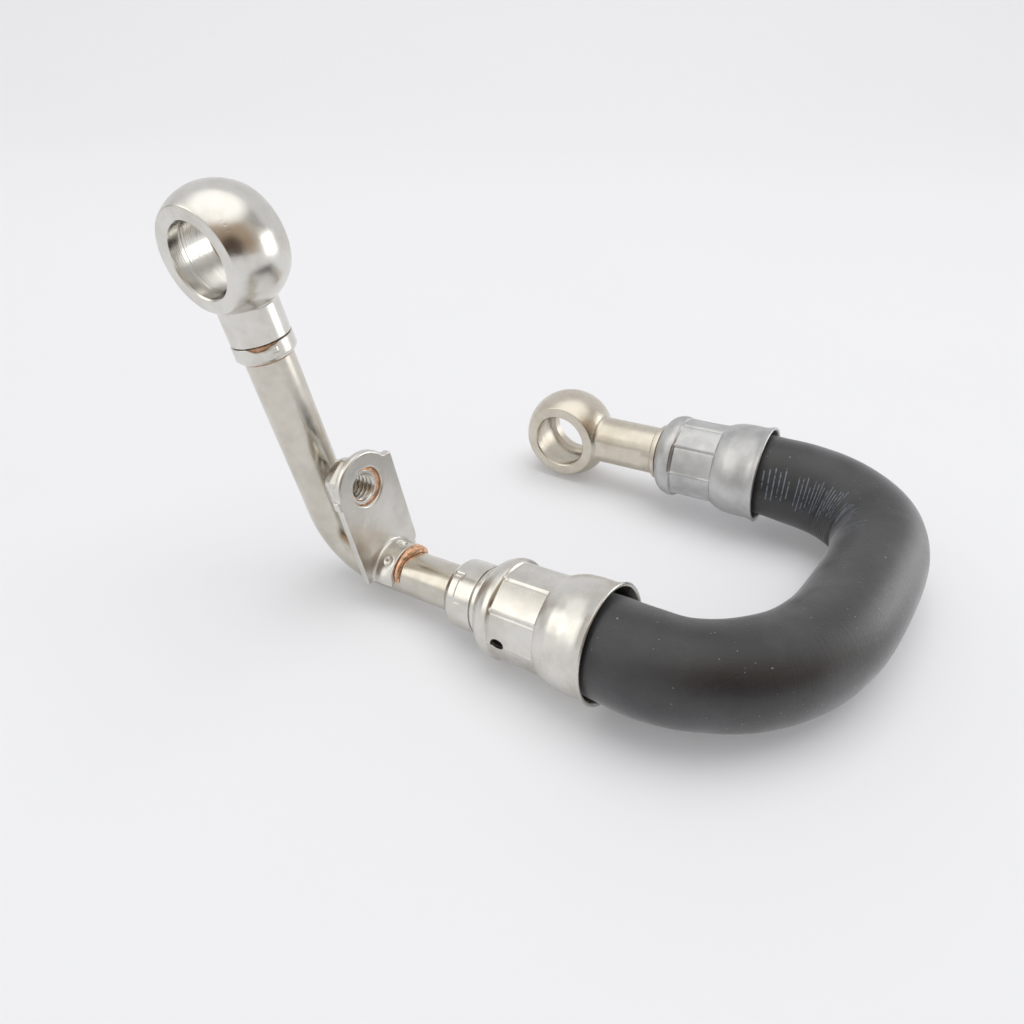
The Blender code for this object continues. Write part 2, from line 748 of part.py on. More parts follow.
def weld_nut(frames, parts, cutters):
    """Hexagon nut behind the bracket, tapered to its back, and the braze ring in the plate's hole."""
    mesh = bpy.data.meshes.new("weld_nut")
    corner = NUT_FLATS / 2 / math.cos(math.pi / 6)
    shape = bmesh.new()
    bmesh.ops.create_cone(
        shape,
        cap_ends=True,
        segments=6,
        radius1=(corner - NUT_TAPER) * MM,
        radius2=corner * MM,
        depth=NUT_LENGTH * MM,
    )
    bmesh.ops.bevel(
        shape,
        geom=[e for e in shape.edges if abs(e.verts[0].co.z - e.verts[1].co.z) > NUT_LENGTH * MM / 2],
        offset=0.8 * MM,
        segments=2,
        profile=0.5,
        affect="EDGES",
    )
    shape.to_mesh(mesh)
    shape.free()
    back = -BRACKET_THICK - FIT_GAP - NUT_LENGTH / 2
    seat = frames["nut"] @ Matrix.Translation((0.0, 0.0, back * MM))
    nut = add_object("weld_nut", mesh, seat, parts, "nickel")
    thread = NUT_THREAD_MINOR / 2
    lead = 0.6
    half = NUT_LENGTH / 2
    cut = [
        (0.0, half + OVERSHOOT),
        (thread + lead + OVERSHOOT, half + OVERSHOOT),
        (thread, half - lead),
        (thread, -half + lead),
        (thread + lead + OVERSHOOT, -half - OVERSHOOT),
        (0.0, -half - OVERSHOOT),
    ]
    combine(nut, turned("nut_bore_cut", cut, seat, cutters, steps=SMALL_STEPS), "DIFFERENCE")
    outer = BRACKET_HOLE / 2 - FIT_GAP
    low = -BRACKET_THICK
    washer("nut_braze", outer - 0.6, outer, low, low + 0.6, frames["nut"], parts, "copper")


def layout():
    """The points and directions that the pieces share, from the corner of the tube's two straights."""
    corner = Vector((0.0, 0.0, 0.0))
    up = direction(UPRIGHT_HEADING, UPRIGHT_RISE)
    run = direction(RUN_HEADING, RUN_RISE)
    tail = direction(FAR_HEADING, FAR_RISE)
    near_mouth = corner + run * RUN_TO_MOUTH
    far_mouth = near_mouth + Vector(FAR_MOUTH)
    start = FERRULE_LENGTH + FIT_GAP + FLANGE_LENGTH + FLANGE_GROOVE
    geometry = {
        "corner": corner,
        "up": up,
        "run": run,
        "tail": tail,
        "near_mouth": near_mouth,
        "far_mouth": far_mouth,
        "socket_floor": RUN_TO_MOUTH - start,
    }
    upright = corner + up * UPRIGHT_LENGTH
    eye = far_mouth + tail * FAR_MOUTH_TO_EYE
    toward_upright = direction(UPRIGHT_EYE_HEADING, UPRIGHT_EYE_RISE)
    toward_far = direction(FAR_EYE_HEADING, FAR_EYE_RISE)
    world_up = Vector((0.0, 0.0, 1.0))
    station = corner + run * BRACKET_STATION
    frames = {
        "upright_neck": placed(upright, up, toward_upright),
        "upright_eye": placed(upright, toward_upright - toward_upright.dot(up) * up, up),
        "near_mouth": placed(near_mouth, -run, world_up),
        "far_mouth": placed(far_mouth, tail, world_up),
        "far_eye": placed(eye, toward_far - toward_far.dot(tail) * tail, tail),
    }
    side = run.cross(world_up).normalized()
    strip = frames_strip(station, run, side)
    frames["bracket"] = strip
    frames["nut"] = strip @ Matrix.Translation((0.0, BRACKET_REACH * MM, 0.0))
    return geometry, frames


def frames_strip(station, run, side):
    """The bracket's frame: Z along the tube, Y up the strip, which leans by BRACKET_LEAN."""
    flat = placed(station, run, side)
    up = flat.to_3x3() @ Vector((0.0, 1.0, 0.0))
    lean = -BRACKET_LEAN if up.z > 0 else 180.0 - BRACKET_LEAN
    return flat @ Matrix.Rotation(math.radians(-lean), 4, "Z")


def stand_on_origin(root, parts):
    """Leans the assembly onto its points of rest, and moves it so that the middle of its bounding
    box's bottom face is the origin."""
    root.rotation_euler = (math.radians(REST_LEAN[0]), math.radians(REST_LEAN[1]), 0.0)
    bpy.context.view_layer.update()
    graph = bpy.context.evaluated_depsgraph_get()
    low = [math.inf] * 3
    high = [-math.inf] * 3
    for obj in parts.objects:
        if obj.type != "MESH":
            continue
        shown = obj.evaluated_get(graph)
        for vertex in shown.data.vertices:
            place = shown.matrix_world @ vertex.co
            low = [min(a, b) for a, b in zip(low, place)]
            high = [max(a, b) for a, b in zip(high, place)]
    root.location = (-(low[0] + high[0]) / 2, -(low[1] + high[1]) / 2, -low[2])


def main():
    clear_scene()
    parts = new_collection("coolant_line")
    cutters = new_collection("cutters", hidden=True)
    geometry, frames = layout()
    upright_eye(frames, parts, cutters)
    socket_rings(frames, parts)
    steel_tube(geometry, parts, cutters)
    bracket(geometry, frames, parts, cutters)
    saddle_braze(frames, parts, cutters)
    weld_nut(frames, parts, cutters)
    hose_nipple(frames, parts, cutters)
    near = ferrule("near_ferrule", frames["near_mouth"], NEAR_CRIMP_TURN, parts, "nickel")
    sight_hole(near, frames["near_mouth"], cutters)
    hose(geometry, parts, cutters)
    ferrule("far_ferrule", frames["far_mouth"], FAR_CRIMP_TURN, parts, "grey_zinc")
    far_eye(frames, parts, cutters)
    root = bpy.data.objects.new("coolant_line_root", None)
    parts.objects.link(root)
    for obj in list(parts.objects) + list(cutters.objects):
        if obj is not root:
            obj.parent = root
    stand_on_origin(root, parts)


main()
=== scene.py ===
import json
import math

import bmesh
import bpy
import numpy as np
from bpy.props import FloatProperty, FloatVectorProperty, PointerProperty
from mathutils import Matrix, Vector

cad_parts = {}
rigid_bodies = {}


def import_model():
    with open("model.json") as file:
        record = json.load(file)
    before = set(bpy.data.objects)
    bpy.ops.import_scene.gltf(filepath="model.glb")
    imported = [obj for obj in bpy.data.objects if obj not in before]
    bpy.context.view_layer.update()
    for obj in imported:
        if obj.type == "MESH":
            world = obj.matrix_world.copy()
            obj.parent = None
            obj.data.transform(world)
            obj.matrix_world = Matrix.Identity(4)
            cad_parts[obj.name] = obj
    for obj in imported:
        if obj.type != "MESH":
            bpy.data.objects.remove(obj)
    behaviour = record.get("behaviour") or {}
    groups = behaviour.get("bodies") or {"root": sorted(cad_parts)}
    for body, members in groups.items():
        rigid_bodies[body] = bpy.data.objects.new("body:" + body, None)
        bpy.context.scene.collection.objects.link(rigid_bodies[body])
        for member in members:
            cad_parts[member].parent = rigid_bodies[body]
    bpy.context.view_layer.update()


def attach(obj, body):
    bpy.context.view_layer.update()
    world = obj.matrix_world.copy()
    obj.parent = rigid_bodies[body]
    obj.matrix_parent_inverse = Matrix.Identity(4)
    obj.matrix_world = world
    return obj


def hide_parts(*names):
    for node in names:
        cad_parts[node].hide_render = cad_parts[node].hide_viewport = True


bl_info = {
    "name": "Coolant line",
    "version": (1, 0, 0),
    "blender": (4, 5, 0),
    "location": "3D View > Sidebar > Coolant line",
    "description": "Builds the visible pieces of a coolant line on its solids",
    "category": "Add Mesh",
}

for left_over in list(bpy.data.objects):
    bpy.data.objects.remove(left_over)
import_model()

MM = 0.001
SHARP_ANGLE = 38.0
FLOOR_OWN_LIGHT = (0.18, 0.6)
# A patch of pits on the upright ball: its middle and its reach, in millimetres.
WORN_SPOT = (-57.34, -11.0, 76.2)
WORN_REACH = 2.6
FERRULE_STEPS = 468
MERGE = 0.0000004
TUBE_WALL = 1.0
FERRULE_WALL = 0.8
TAIL_BORE = 3.5
TAIL_RADIUS = 5.0
COLLAR_RADIUS = 7.35
BRAZE_BORE = 5.06
RING_LENGTH = 2.6
SLIT = 0.4

# Where the solids stand, in millimetres, and the directions they point in.
CORNER = (-52.644, -1.373, 4.935)
UP = (-0.21138, -0.05655, 0.97577)
RUN = (0.81359, -0.56977, 0.11589)
TAIL = (-0.85886, 0.50897, -0.0575)
UPRIGHT_EYE = (-67.694, -5.399, 74.409)
UPRIGHT_BORE = (-0.51074, -0.84479, -0.1596)
NEAR_MOUTH = (4.633, -41.484, 13.094)
NEAR_SIDE = (-0.08703, 0.07774, 0.99317)
FAR_MOUTH = (48.359, 19.94, 15.162)
FAR_SIDE = (-0.04267, 0.04077, 0.99826)
FAR_BORE = (-0.50796, -0.86078, -0.03202)
FAR_MOUTH_TO_EYE = 54.9
BRACKET_FOOT = (-40.521, -9.862, 6.662)
STRIP_SIDE = (0.55072, 0.81907, 0.16072)
LEAN = (
    (0.999936, -0.000099, 0.011344),
    (0.0, 0.999962, 0.008727),
    (-0.011344, -0.008726, 0.999898),
)
UPRIGHT_LENGTH = 71.2
RUN_LENGTH = 70.4
BEND_RADIUS = 13.0
SOCKET_LENGTH = 17.4
SOCKET_DEPTH = 4.6
FIT_GAP = 0.3
FERRULE_LENGTH = 26.8
FLANGE_LENGTH = 1.0
FLANGE_GROOVE = 0.4
COLLAR_LENGTH = 7.2
HOSE_SHORT_OF_END = 1.6
HOSE_TURN_NEAR = (
    (-0.4, -0.6, -0.2),
    (12.5, -6.8, -1.1),
    (30.5, -2.7, -1.7),
    (40.5, 4.0, -1.8),
    (49.6, 14.3, -1.8),
)
HOSE_TURN_FAR = ((19.8, -24.8, -4.7), (20.7, -15.4, -3.6), (15.0, -6.6, -2.0), (0.4, 0.6, -0.3))
TURN_STARTS_INSIDE = 9.0
# The hose is higher and slimmer about one place along it: place, spread, rise and loss of radius.
LIFTED = (39.5, 8.5)
LIFT, SLIMMER = 1.05, 0.45
GUIDE = 4.0
CRIMP = (11.2, 21.7)
CRIMP_FLATS = 9
BRACKET_REACH = 21.7
BRACKET_THICK = 1.5


# Geometry in arrays


def unit(vectors):
    """The same directions, one unit long."""
    return vectors / np.linalg.norm(vectors, axis=-1, keepdims=True)


def distances(line):
    """How far along a line each of its points lies."""
    return np.concatenate([[0.0], np.cumsum(np.linalg.norm(np.diff(line, axis=0), axis=1))])


def placement(origin, z_axis, x_axis):
    """An origin in millimetres and three square axes as rows: Z as given, X made square to it."""
    z = unit(np.array(z_axis, float))
    x = np.array(x_axis, float)
    x = unit(x - (x @ z) * z)
    return {"origin": np.array(origin, float), "axes": np.array([x, np.cross(z, x), z])}


def world(local, place):
    """Points in a placement's own millimetres, as metres in the row frame: origin plus each
    coordinate times its axis."""
    return (place["origin"] + np.asarray(local, float) @ place["axes"]) * MM


NECK = placement(UPRIGHT_EYE, UP, UPRIGHT_BORE)
UPRIGHT_EYE_AXIS = placement(UPRIGHT_EYE, UPRIGHT_BORE, UP)
NEAR = placement(NEAR_MOUTH, np.negative(RUN), NEAR_SIDE)
FAR = placement(FAR_MOUTH, TAIL, FAR_SIDE)
FAR_EYE_AXIS = placement(np.array(FAR_MOUTH) + FAR_MOUTH_TO_EYE * np.array(TAIL), FAR_BORE, TAIL)
STRIP = placement(BRACKET_FOOT, RUN, STRIP_SIDE)
NUT = placement(np.array(BRACKET_FOOT) + BRACKET_REACH * STRIP["axes"][1], RUN, STRIP_SIDE)


def smooth_step(value, low, high):
    """0 below low and 1 above high, with 3t² - 2t³ between."""
    t = np.clip((value - low) / (high - low), 0.0, 1.0)
    return t * t * (3.0 - 2.0 * t)


def bump_at(value, centre, width):
    """A bell of height 1: e to the minus square of the distance over the width."""
    return np.exp(-(((value - centre) / width) ** 2))


def band(value, full, none):
    """1 within full of zero and 0 beyond none, on both sides."""
    return smooth_step(-np.abs(value), -none, -full)


def turn_from(angle, degrees):
    """How far an angle in radians is from a bearing in degrees, within minus pi to pi."""
    return (angle - math.radians(degrees) + np.pi) % (2 * np.pi) - np.pi


def ripple(angle, station, seed, scale=1.0):
    """Slow unevenness of about minus 1 to 1: a sum of sines of whole multiples of the angle and
    of the station, each with its own phase."""
    draws = np.random.default_rng(seed)
    total = 0.0
    for wave in range(6):
        around = int(draws.integers(1, 8))
        along = draws.uniform(0.3, 2.2) * scale
        phase = draws.uniform(0.0, 6.28)
        total = total + np.sin(around * angle + along * station + phase) / (1.5 + wave * 0.5)
    return total / 2.2


def rounded(corners, segments=5, closed=True):
    """A line of (radius, station, fillet) corners as (radius, station) points: each corner is an
    arc tangent to both sides, and each long side gets a point close to either end."""
    corners = np.array(corners, float)
    count = len(corners)
    points = []
    for i in range(count):
        here, fillet = corners[i, :2], corners[i, 2]
        if not closed and i in (0, count - 1) or fillet == 0.0:
            points.append(here[None])
            continue
        before = corners[i - 1, :2] - here
        after = corners[(i + 1) % count, :2] - here
        a, b = unit(before), unit(after)
        half = math.acos(max(-1.0, min(1.0, float(a @ b)))) / 2
        if half > math.pi / 2 - 0.02:
            points.append(here[None])
            continue
        room = 0.48 * min(np.linalg.norm(before), np.linalg.norm(after))
        reach = min(fillet / math.tan(half), room)
        radius = reach * math.tan(half)
        centre = here + unit(a + b) * math.hypot(reach, radius)
        first, last = here + a * reach - centre, here + b * reach - centre
        sweep = math.pi - 2 * half
        share = np.linspace(0.0, 1.0, segments + 1)[:, None]
        arc = (np.sin((1 - share) * sweep) * first + np.sin(share * sweep) * last) / math.sin(sweep)
        points.append(centre + arc)
    return held(np.concatenate(points), closed)


def held(points, closed, margin=0.12):
    """The same line with two more points on each long side, a margin from its ends, which keeps
    the shading of the side flat up to its fillets."""
    following = np.roll(points, -1, axis=0) if closed else points[1:]
    starts = points if closed else points[:-1]
    side = following - starts
    length = np.linalg.norm(side, axis=1)
    kept = []
    for start, step, long in zip(starts, side, length):
        kept.append(start)
        if long > 3.2 * margin:
            kept += [start + step * (margin / long), start + step * (1 - margin / long)]
    if not closed:
        kept.append(points[-1])
    return np.array(kept)


def spread(points, step):
    """The same closed line with every side divided into equal parts no longer than the step: a
    length, or a function that returns one for the side's middle."""
    pieces = []
    for a, b in zip(points, np.roll(points, -1, axis=0)):
        size = step(*(a + b) / 2) if callable(step) else step
        parts = max(1, int(math.ceil(np.linalg.norm(b - a) / size)))
        pieces.append(a + (b - a) * np.arange(parts)[:, None] / parts)
    return np.concatenate(pieces)


def turned(profile, place, steps, shape=None):
    """A profile of (radius, station) carried round the placement's Z: x is the radius times the
    cosine of the angle, y times its sine, z the station. The shape changes both at each angle."""
    profile = np.asarray(profile, float)
    angle = np.linspace(0.0, 2 * np.pi, steps, endpoint=False)[None]
    radius = profile[:, :1] + 0.0 * angle
    station = profile[:, 1:2] + 0.0 * angle
    if shape:
        radius, station = shape(radius, station, angle)
    local = np.stack([radius * np.cos(angle), radius * np.sin(angle), station], -1)
    return world(local, place)


def grid_faces(rows, columns, wrap_rows, wrap_columns):
    """The four corners of each cell of a grid, as indices of its points."""
    i = np.arange(rows if wrap_rows else rows - 1)[:, None]
    j = np.arange(columns if wrap_columns else columns - 1)[None]
    below, beside = (i + 1) % rows, (j + 1) % columns
    corners = [i * columns + j, i * columns + beside, below * columns + beside, below * columns + j]
    return np.stack(corners, -1).reshape(-1, 4)


def grid_mesh(points, wrap_rows=True, uv=None):
    """A mesh of the grid's cells, with poles merged, seams closed and every face outwards."""
    faces = grid_faces(*points.shape[:2], wrap_rows, True)
    mesh = bpy.data.meshes.new("shape")
    mesh.from_pydata(points.reshape(-1, 3), [], faces.tolist())
    if uv is not None:
        layer = mesh.uv_layers.new(name="along")
        corner = np.zeros(len(mesh.loops), np.int32)
        mesh.loops.foreach_get("vertex_index", corner)
        layer.data.foreach_set("uv", uv.reshape(-1, 2)[corner].astype(np.float32).ravel())
    closed(mesh)
    return mesh


def closed(mesh):
    """Merges what lies on one spot, turns the faces outwards and shades them smooth up to a
    sharp angle."""
    shape = bmesh.new()
    shape.from_mesh(mesh)
    bmesh.ops.remove_doubles(shape, verts=shape.verts, dist=MERGE)
    bmesh.ops.dissolve_degenerate(shape, edges=shape.edges, dist=MERGE)
    bmesh.ops.recalc_face_normals(shape, faces=shape.faces)
    shape.to_mesh(mesh)
    shape.free()
    mesh.polygons.foreach_set("use_smooth", np.ones(len(mesh.polygons), bool))
    mesh.set_sharp_from_angle(angle=math.radians(SHARP_ANGLE))
    mesh.update()


def add_object(name, mesh):
    obj = bpy.data.objects.new(name, mesh)
    bpy.context.scene.collection.objects.link(obj)
    return obj


def boolean(obj, cutter_mesh, operation):
    """Cuts or joins another closed mesh into the piece, and keeps only the result."""
    cutter = add_object("cutter", cutter_mesh)
    modifier = obj.modifiers.new("cut", "BOOLEAN")
    modifier.operation = operation
    modifier.solver = "EXACT"
    modifier.object = cutter
    bpy.context.view_layer.update()
    graph = bpy.context.evaluated_depsgraph_get()
    made = bpy.data.meshes.new_from_object(obj.evaluated_get(graph))
    obj.modifiers.clear()
    obj.data = made
    bpy.data.objects.remove(cutter)
    closed(made)


def piece(name, mesh, node, look, joins=(), cuts=()):
    """One visible piece, with other closed meshes joined to it and then cut out of it. It stands
    for its solid and rides on the body."""
    mesh.name = name
    obj = add_object(name, mesh)
    for others, operation in ((joins, "UNION"), (cuts, "DIFFERENCE")):
        for other in others:
            boolean(obj, other, operation)
    obj.data.materials.clear()
    obj.data.materials.append(look)
    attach(obj, "root")
    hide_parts(node)


# Finishes


class Finish:
    """A node material: nodes are added by kind, with their inputs as values or as links."""

    def __init__(self, name):
        self.material = bpy.data.materials.new(name)
        self.material.use_nodes = True
        self.tree = self.material.node_tree
        self.tree.nodes.clear()
        self.shader = self.add("BsdfPrincipled")
        self.add("OutputMaterial", {"Surface": self.shader.outputs[0]})

    def add(self, kind, inputs=None, **settings):
        return add_node(self.tree, kind, inputs, **settings)

    def math(self, operation, a, b=0.0):
        return self.add("Math", {0: a, 1: b}, operation=operation).outputs[0]

    def plus(self, a, b):
        return self.math("ADD", a, b)

    def times(self, a, b):
        return self.math("MULTIPLY", a, b)

    def span(self, value, low, high, new_low=0.0, new_high=1.0, smooth=True):
        inputs = {"Value": value, "From Min": low, "From Max": high}
        inputs.update({"To Min": new_low, "To Max": new_high})
        kind = "SMOOTHSTEP" if smooth else "LINEAR"
        return self.add("MapRange", inputs, interpolation_type=kind, clamp=True).outputs[0]

    def blend(self, share, a, b):
        return mixed(self.tree, share, a, b)

    def place(self):
        return self.add("TexCoord").outputs["Object"]

    def local(self, place):
        """Object coordinates in a placement's own axes, in metres."""
        matrix = Matrix([list(row) for row in place["axes"]]).transposed()
        inputs = {
            "Vector": self.place(),
            "Location": tuple(place["origin"] * MM),
            "Rotation": tuple(matrix.to_euler()),
        }
        return self.add("Mapping", inputs, vector_type="TEXTURE").outputs[0]

    def split(self, vector):
        return self.add("SeparateXYZ", {0: vector}).outputs

    def noise(self, vector, scale, detail=3.0, roughness=0.5):
        inputs = {"Vector": vector, "Scale": scale, "Detail": detail, "Roughness": roughness}
        return self.add("TexNoise", inputs).outputs[0]

    def lathe_lines(self, place, across, along, within=None):
        """Fine rings about the placement's Z: noise of one number, the radius times one rate
        plus the station times another. They fade out beyond a given radius."""
        x, y, z = self.split(self.local(place))
        flat = self.add("CombineXYZ", {0: x, 1: y}).outputs[0]
        radius = self.add("VectorMath", {0: flat}, operation="LENGTH").outputs[1]
        w = self.plus(self.times(radius, across), self.times(z, along))
        inputs = {"W": w, "Scale": 1.0, "Detail": 2.0, "Roughness": 0.6}
        lines = self.add("TexNoise", inputs, noise_dimensions="1D").outputs[0]
        if within:
            lines = self.times(lines, self.span(radius, within, within + 0.0004, 1.0, 0.0))
        return lines

    def bump(self, height, distance, strength):
        inputs = {"Height": height, "Distance": distance, "Strength": strength}
        return self.add("Bump", inputs).outputs[0]

    def set(self, **inputs):
        for key, value in inputs.items():
            connect(self.tree, self.shader.inputs[key.replace("_", " ")], value)


def add_node(tree, kind, inputs=None, **settings):
    node = tree.nodes.new("ShaderNode" + kind)
    for key, value in settings.items():
        setattr(node, key, value)
    for key, value in (inputs or {}).items():
        connect(tree, node.inputs[key], value)
    return node


def mixed(tree, share, a, b):
    """A blend of two colours in a node tree."""
    return add_node(tree, "Mix", {0: share, 6: a, 7: b}, data_type="RGBA").outputs[2]


def connect(tree, socket, value):
    if isinstance(value, bpy.types.NodeSocket):
        tree.links.new(value, socket)
    elif socket.type == "RGBA" and len(value) == 3:
        socket.default_value = (*value, 1.0)
    else:
        socket.default_value = value


# How many times a metre the plating's unevenness repeats, and how deep it is, in metres.
CLOUD_RATE = 130.0
SMUDGE_RATE = 420.0
PIT_RATE = 900.0
SPECK_RATE = 1500.0
FINE_RATE = 5200.0
PLATING_BUMP = 0.000014

# Specks on the rubber: cells a metre, the largest speck as a share of a cell, and how far it shows.
RUBBER_SPECKS = ((1000.0, 0.12, 0.45), (430.0, 0.085, 0.60))
SPECK_COLOUR = (0.34, 0.34, 0.36)


def plated(name, tint, shade, rough, places, pits=0.0, grain=1.0, worn=None):
    """Bright plated metal: turning lines about each placement, cloudy colour, smudged gloss, and
    small pits."""
    look = Finish(name)
    place = look.place()
    cloud = look.noise(place, CLOUD_RATE, 4.0, 0.6)
    smudge = look.noise(place, SMUDGE_RATE, 3.0, 0.55)
    fine = look.noise(place, FINE_RATE, 2.0, 0.5)
    colour = look.blend(look.span(cloud, 0.36, 0.70), tint, shade)
    speck = look.noise(place, SPECK_RATE, 2.0, 0.7)
    dark = look.span(speck, 0.71, 0.76, 0.0, 0.3)
    colour = look.blend(look.times(dark, 0.5), colour, tuple(0.45 * c for c in tint))
    uneven = look.times(look.math("SUBTRACT", fine, 0.5), 0.08)
    gloss = look.plus(look.span(smudge, 0.3, 0.7, rough - 0.03, rough + 0.05), uneven)
    height = look.times(fine, 0.5 * grain)
    for spot, across, along, share, within in places:
        lines = look.lathe_lines(spot, across, along, within)
        height = look.plus(height, look.times(lines, share))
    height = look.plus(height, look.times(cloud, 0.7))
    if pits:
        inputs = {"Vector": place, "Scale": PIT_RATE, "Randomness": 1.0}
        cells = look.add("TexVoronoi", inputs).outputs["Distance"]
        patchy = look.span(look.noise(place, 160.0, 2.0), 0.55, 0.68, 0.0, 0.7)
        if worn:
            centre, reach = tuple(c * MM for c in worn[0]), worn[1] * MM
            away = look.add("VectorMath", {0: place, 1: centre}, operation="DISTANCE").outputs[1]
            patchy = look.math("MAXIMUM", patchy, look.span(away, 0.5 * reach, reach, 1.8, 0.0))
        pit = look.span(cells, 0.10, 0.26, 1.0, 0.0)
        hollow = look.times(pit, look.times(patchy, -pits))
        height = look.plus(height, hollow)
    normal = look.bump(height, PLATING_BUMP, 0.7)
    look.set(Base_Color=colour, Metallic=1.0, Roughness=gloss, Normal=normal)
    return look.material


def copper_finish(name, tint):
    """Braze: grainy, uneven copper that has flowed and set."""
    look = Finish(name)
    place = look.place()
    cloud = look.noise(place, 900.0, 4.0, 0.65)
    grain = look.noise(place, 3800.0, 3.0, 0.6)
    colour = look.blend(look.span(cloud, 0.34, 0.62), tuple(0.5 * c for c in tint), tint)
    bright = look.blend(look.span(grain, 0.54, 0.66, 0.0, 0.75), colour, (0.98, 0.78, 0.62))
    look.set(Base_Color=bright, Metallic=1.0, Roughness=look.span(grain, 0.3, 0.7, 0.24, 0.5))
    look.set(Normal=look.bump(look.plus(cloud, grain), 0.00012, 0.7))
    return look.material


def rubber_finish(name, tint, mark):
    """Matte moulded rubber: a fine wrapped surface, dust, specks, and a row of plain marks."""
    look = Finish(name)
    place = look.place()
    along, around, _ = look.split(look.add("UVMap", None, uv_map="along").outputs[0])
    fine = look.noise(place, 2600.0, 3.0, 0.6)
    cloud = look.noise(place, 60.0, 4.0, 0.6)
    inputs = {"W": along, "Scale": 1500.0, "Detail": 3.0, "Roughness": 0.6}
    wrap = look.add("TexNoise", inputs, noise_dimensions="1D").outputs[0]
    dusty = look.span(cloud, 0.40, 0.70)
    colour = look.blend(dusty, tint, tuple(3.5 * c + 0.004 for c in tint))
    for rate, size, share in RUBBER_SPECKS:
        cells = look.add("TexVoronoi", {"Vector": place, "Scale": rate, "Randomness": 1.0})
        chance = look.split(cells.outputs["Color"])[0]
        reach = look.span(chance, 0.55, 1.0, 0.0, size)
        speck = look.math("LESS_THAN", cells.outputs["Distance"], reach)
        colour = look.blend(look.times(speck, share), colour, SPECK_COLOUR)
    colour = look.blend(mark_mask(look, along, around, place), colour, mark)
    rough = look.plus(look.span(fine, 0.3, 0.7, 0.36, 0.48), look.times(dusty, 0.06))
    height = look.plus(fine, look.times(wrap, 0.55))
    look.set(Base_Color=colour, Roughness=rough, Normal=look.bump(height, 0.00006, 0.5))
    look.set(Sheen_Weight=look.span(cloud, 0.3, 0.7, 0.30, 0.62), Sheen_Roughness=0.42)
    look.shader.inputs["Specular IOR Level"].default_value = 0.8
    return look.material


MARK_START, MARK_END = 0.097, 0.150
MARK_PITCH = 0.00105
MARK_HALF = 0.066


def mark_mask(look, along, around, place):
    """A row of plain strokes square to the hose, like a worn tick scale: one stroke in the middle
    of each step along it, each of a length of its own, and some left out."""
    started = look.span(along, MARK_START, MARK_START + 0.012)
    inside = look.times(started, look.math("LESS_THAN", along, MARK_END))
    slanted = look.plus(along, look.times(around, 0.006))
    steps = look.math("DIVIDE", slanted, MARK_PITCH)
    draw = look.add("TexWhiteNoise", {"W": look.math("FLOOR", steps)}, noise_dimensions="1D")
    first, second, third = look.split(draw.outputs["Color"])
    across = look.math("ABSOLUTE", look.math("SUBTRACT", look.math("FRACT", steps), 0.5))
    stroke = look.span(across, 0.07, 0.17, 1.0, 0.0)
    centre = look.span(along, 0.098, 0.134, 0.628, 0.702, False)
    shift = look.times(look.math("SUBTRACT", first, 0.5), 0.03)
    offset = look.math("SUBTRACT", around, look.plus(centre, shift))
    half = look.span(second, 0.0, 1.0, 0.45 * MARK_HALF, MARK_HALF, False)
    band = look.math("LESS_THAN", look.math("ABSOLUTE", offset), half)
    kept = look.math("GREATER_THAN", third, 0.18)
    worn = look.span(look.noise(place, 1300.0, 3.0, 0.6), 0.34, 0.52)
    share = look.times(look.times(inside, band), look.times(stroke, worn))
    return look.times(look.times(share, kept), 0.5)


# Eye fittings


def skin(profile, place, steps, shape=None):
    """A turned mesh whose profile runs from one pole to the other."""
    return grid_mesh(turned(profile, place, steps, shape), wrap_rows=False)


def ball_and_neck(ball, neck, fillet, points=96):
    """The outline of a ball with a round neck below it, as (radius, station) from the top pole to
    the foot of the fillet. The ball is a half circle, the fillet an arc tangent to both."""
    reach = ball + fillet
    level = math.sqrt(reach**2 - (neck + fillet) ** 2)
    leave = math.atan2(level, neck + fillet)
    around = np.linspace(np.pi / 2, -leave, points)
    sphere = np.stack([ball * np.cos(around), ball * np.sin(around)], -1)
    sphere[0, 0] = 0.0
    bend = np.linspace(np.pi - leave, np.pi, 9)[1:]
    root = np.stack([neck + fillet + fillet * np.cos(bend), -level + fillet * np.sin(bend)], -1)
    return np.concatenate([sphere, root])


CHAMBER_DEEPER = 1.2
LIP_WIDTH = 2.6


def bore_spool(sizes, place, chamfer, steps=224):
    """What the two faces and the bore take out of the ball: a spool about the bore's axis, with
    an eased edge at the ball, a chamfer at the bore, two lips and the wider chamber."""
    widths = (sizes.ball_diameter, sizes.eye_width, sizes.bore_diameter)
    ball, half, bore = (width / 2 / MM for width in widths)
    chamber, lip = bore + CHAMBER_DEEPER, half - LIP_WIDTH
    edge = math.sqrt(ball**2 - half**2)
    slope = math.radians(40.0)
    ease = np.linspace(np.pi / 2, slope, 6)
    soft = 0.42
    arc = np.stack([edge - 0.22 + soft * np.cos(ease), half - soft + soft * np.sin(ease)], -1)
    fall = arc[-1] + 1.1 * np.array([math.sin(slope), -math.cos(slope)])
    beyond = [(0.0, 1.5 * ball), (2 * ball, 1.5 * ball), (2 * ball, fall[1]), fall]
    upper = np.concatenate([beyond, arc[::-1]])
    inner = rounded(
        [
            (edge - 0.6, half, 0.0),
            (bore + chamfer, half, 0.08),
            (bore, half - chamfer, 0.08),
            (bore, lip, 0.1),
            (chamber, lip - 0.7, 0.35),
            (chamber, 0.0, 0.0),
        ],
        4,
        closed=False,
    )
    top = np.concatenate([upper, inner])
    bottom = top[::-1] * np.array([1.0, -1.0])
    return skin(np.concatenate([top, bottom[1:]]), place, steps)


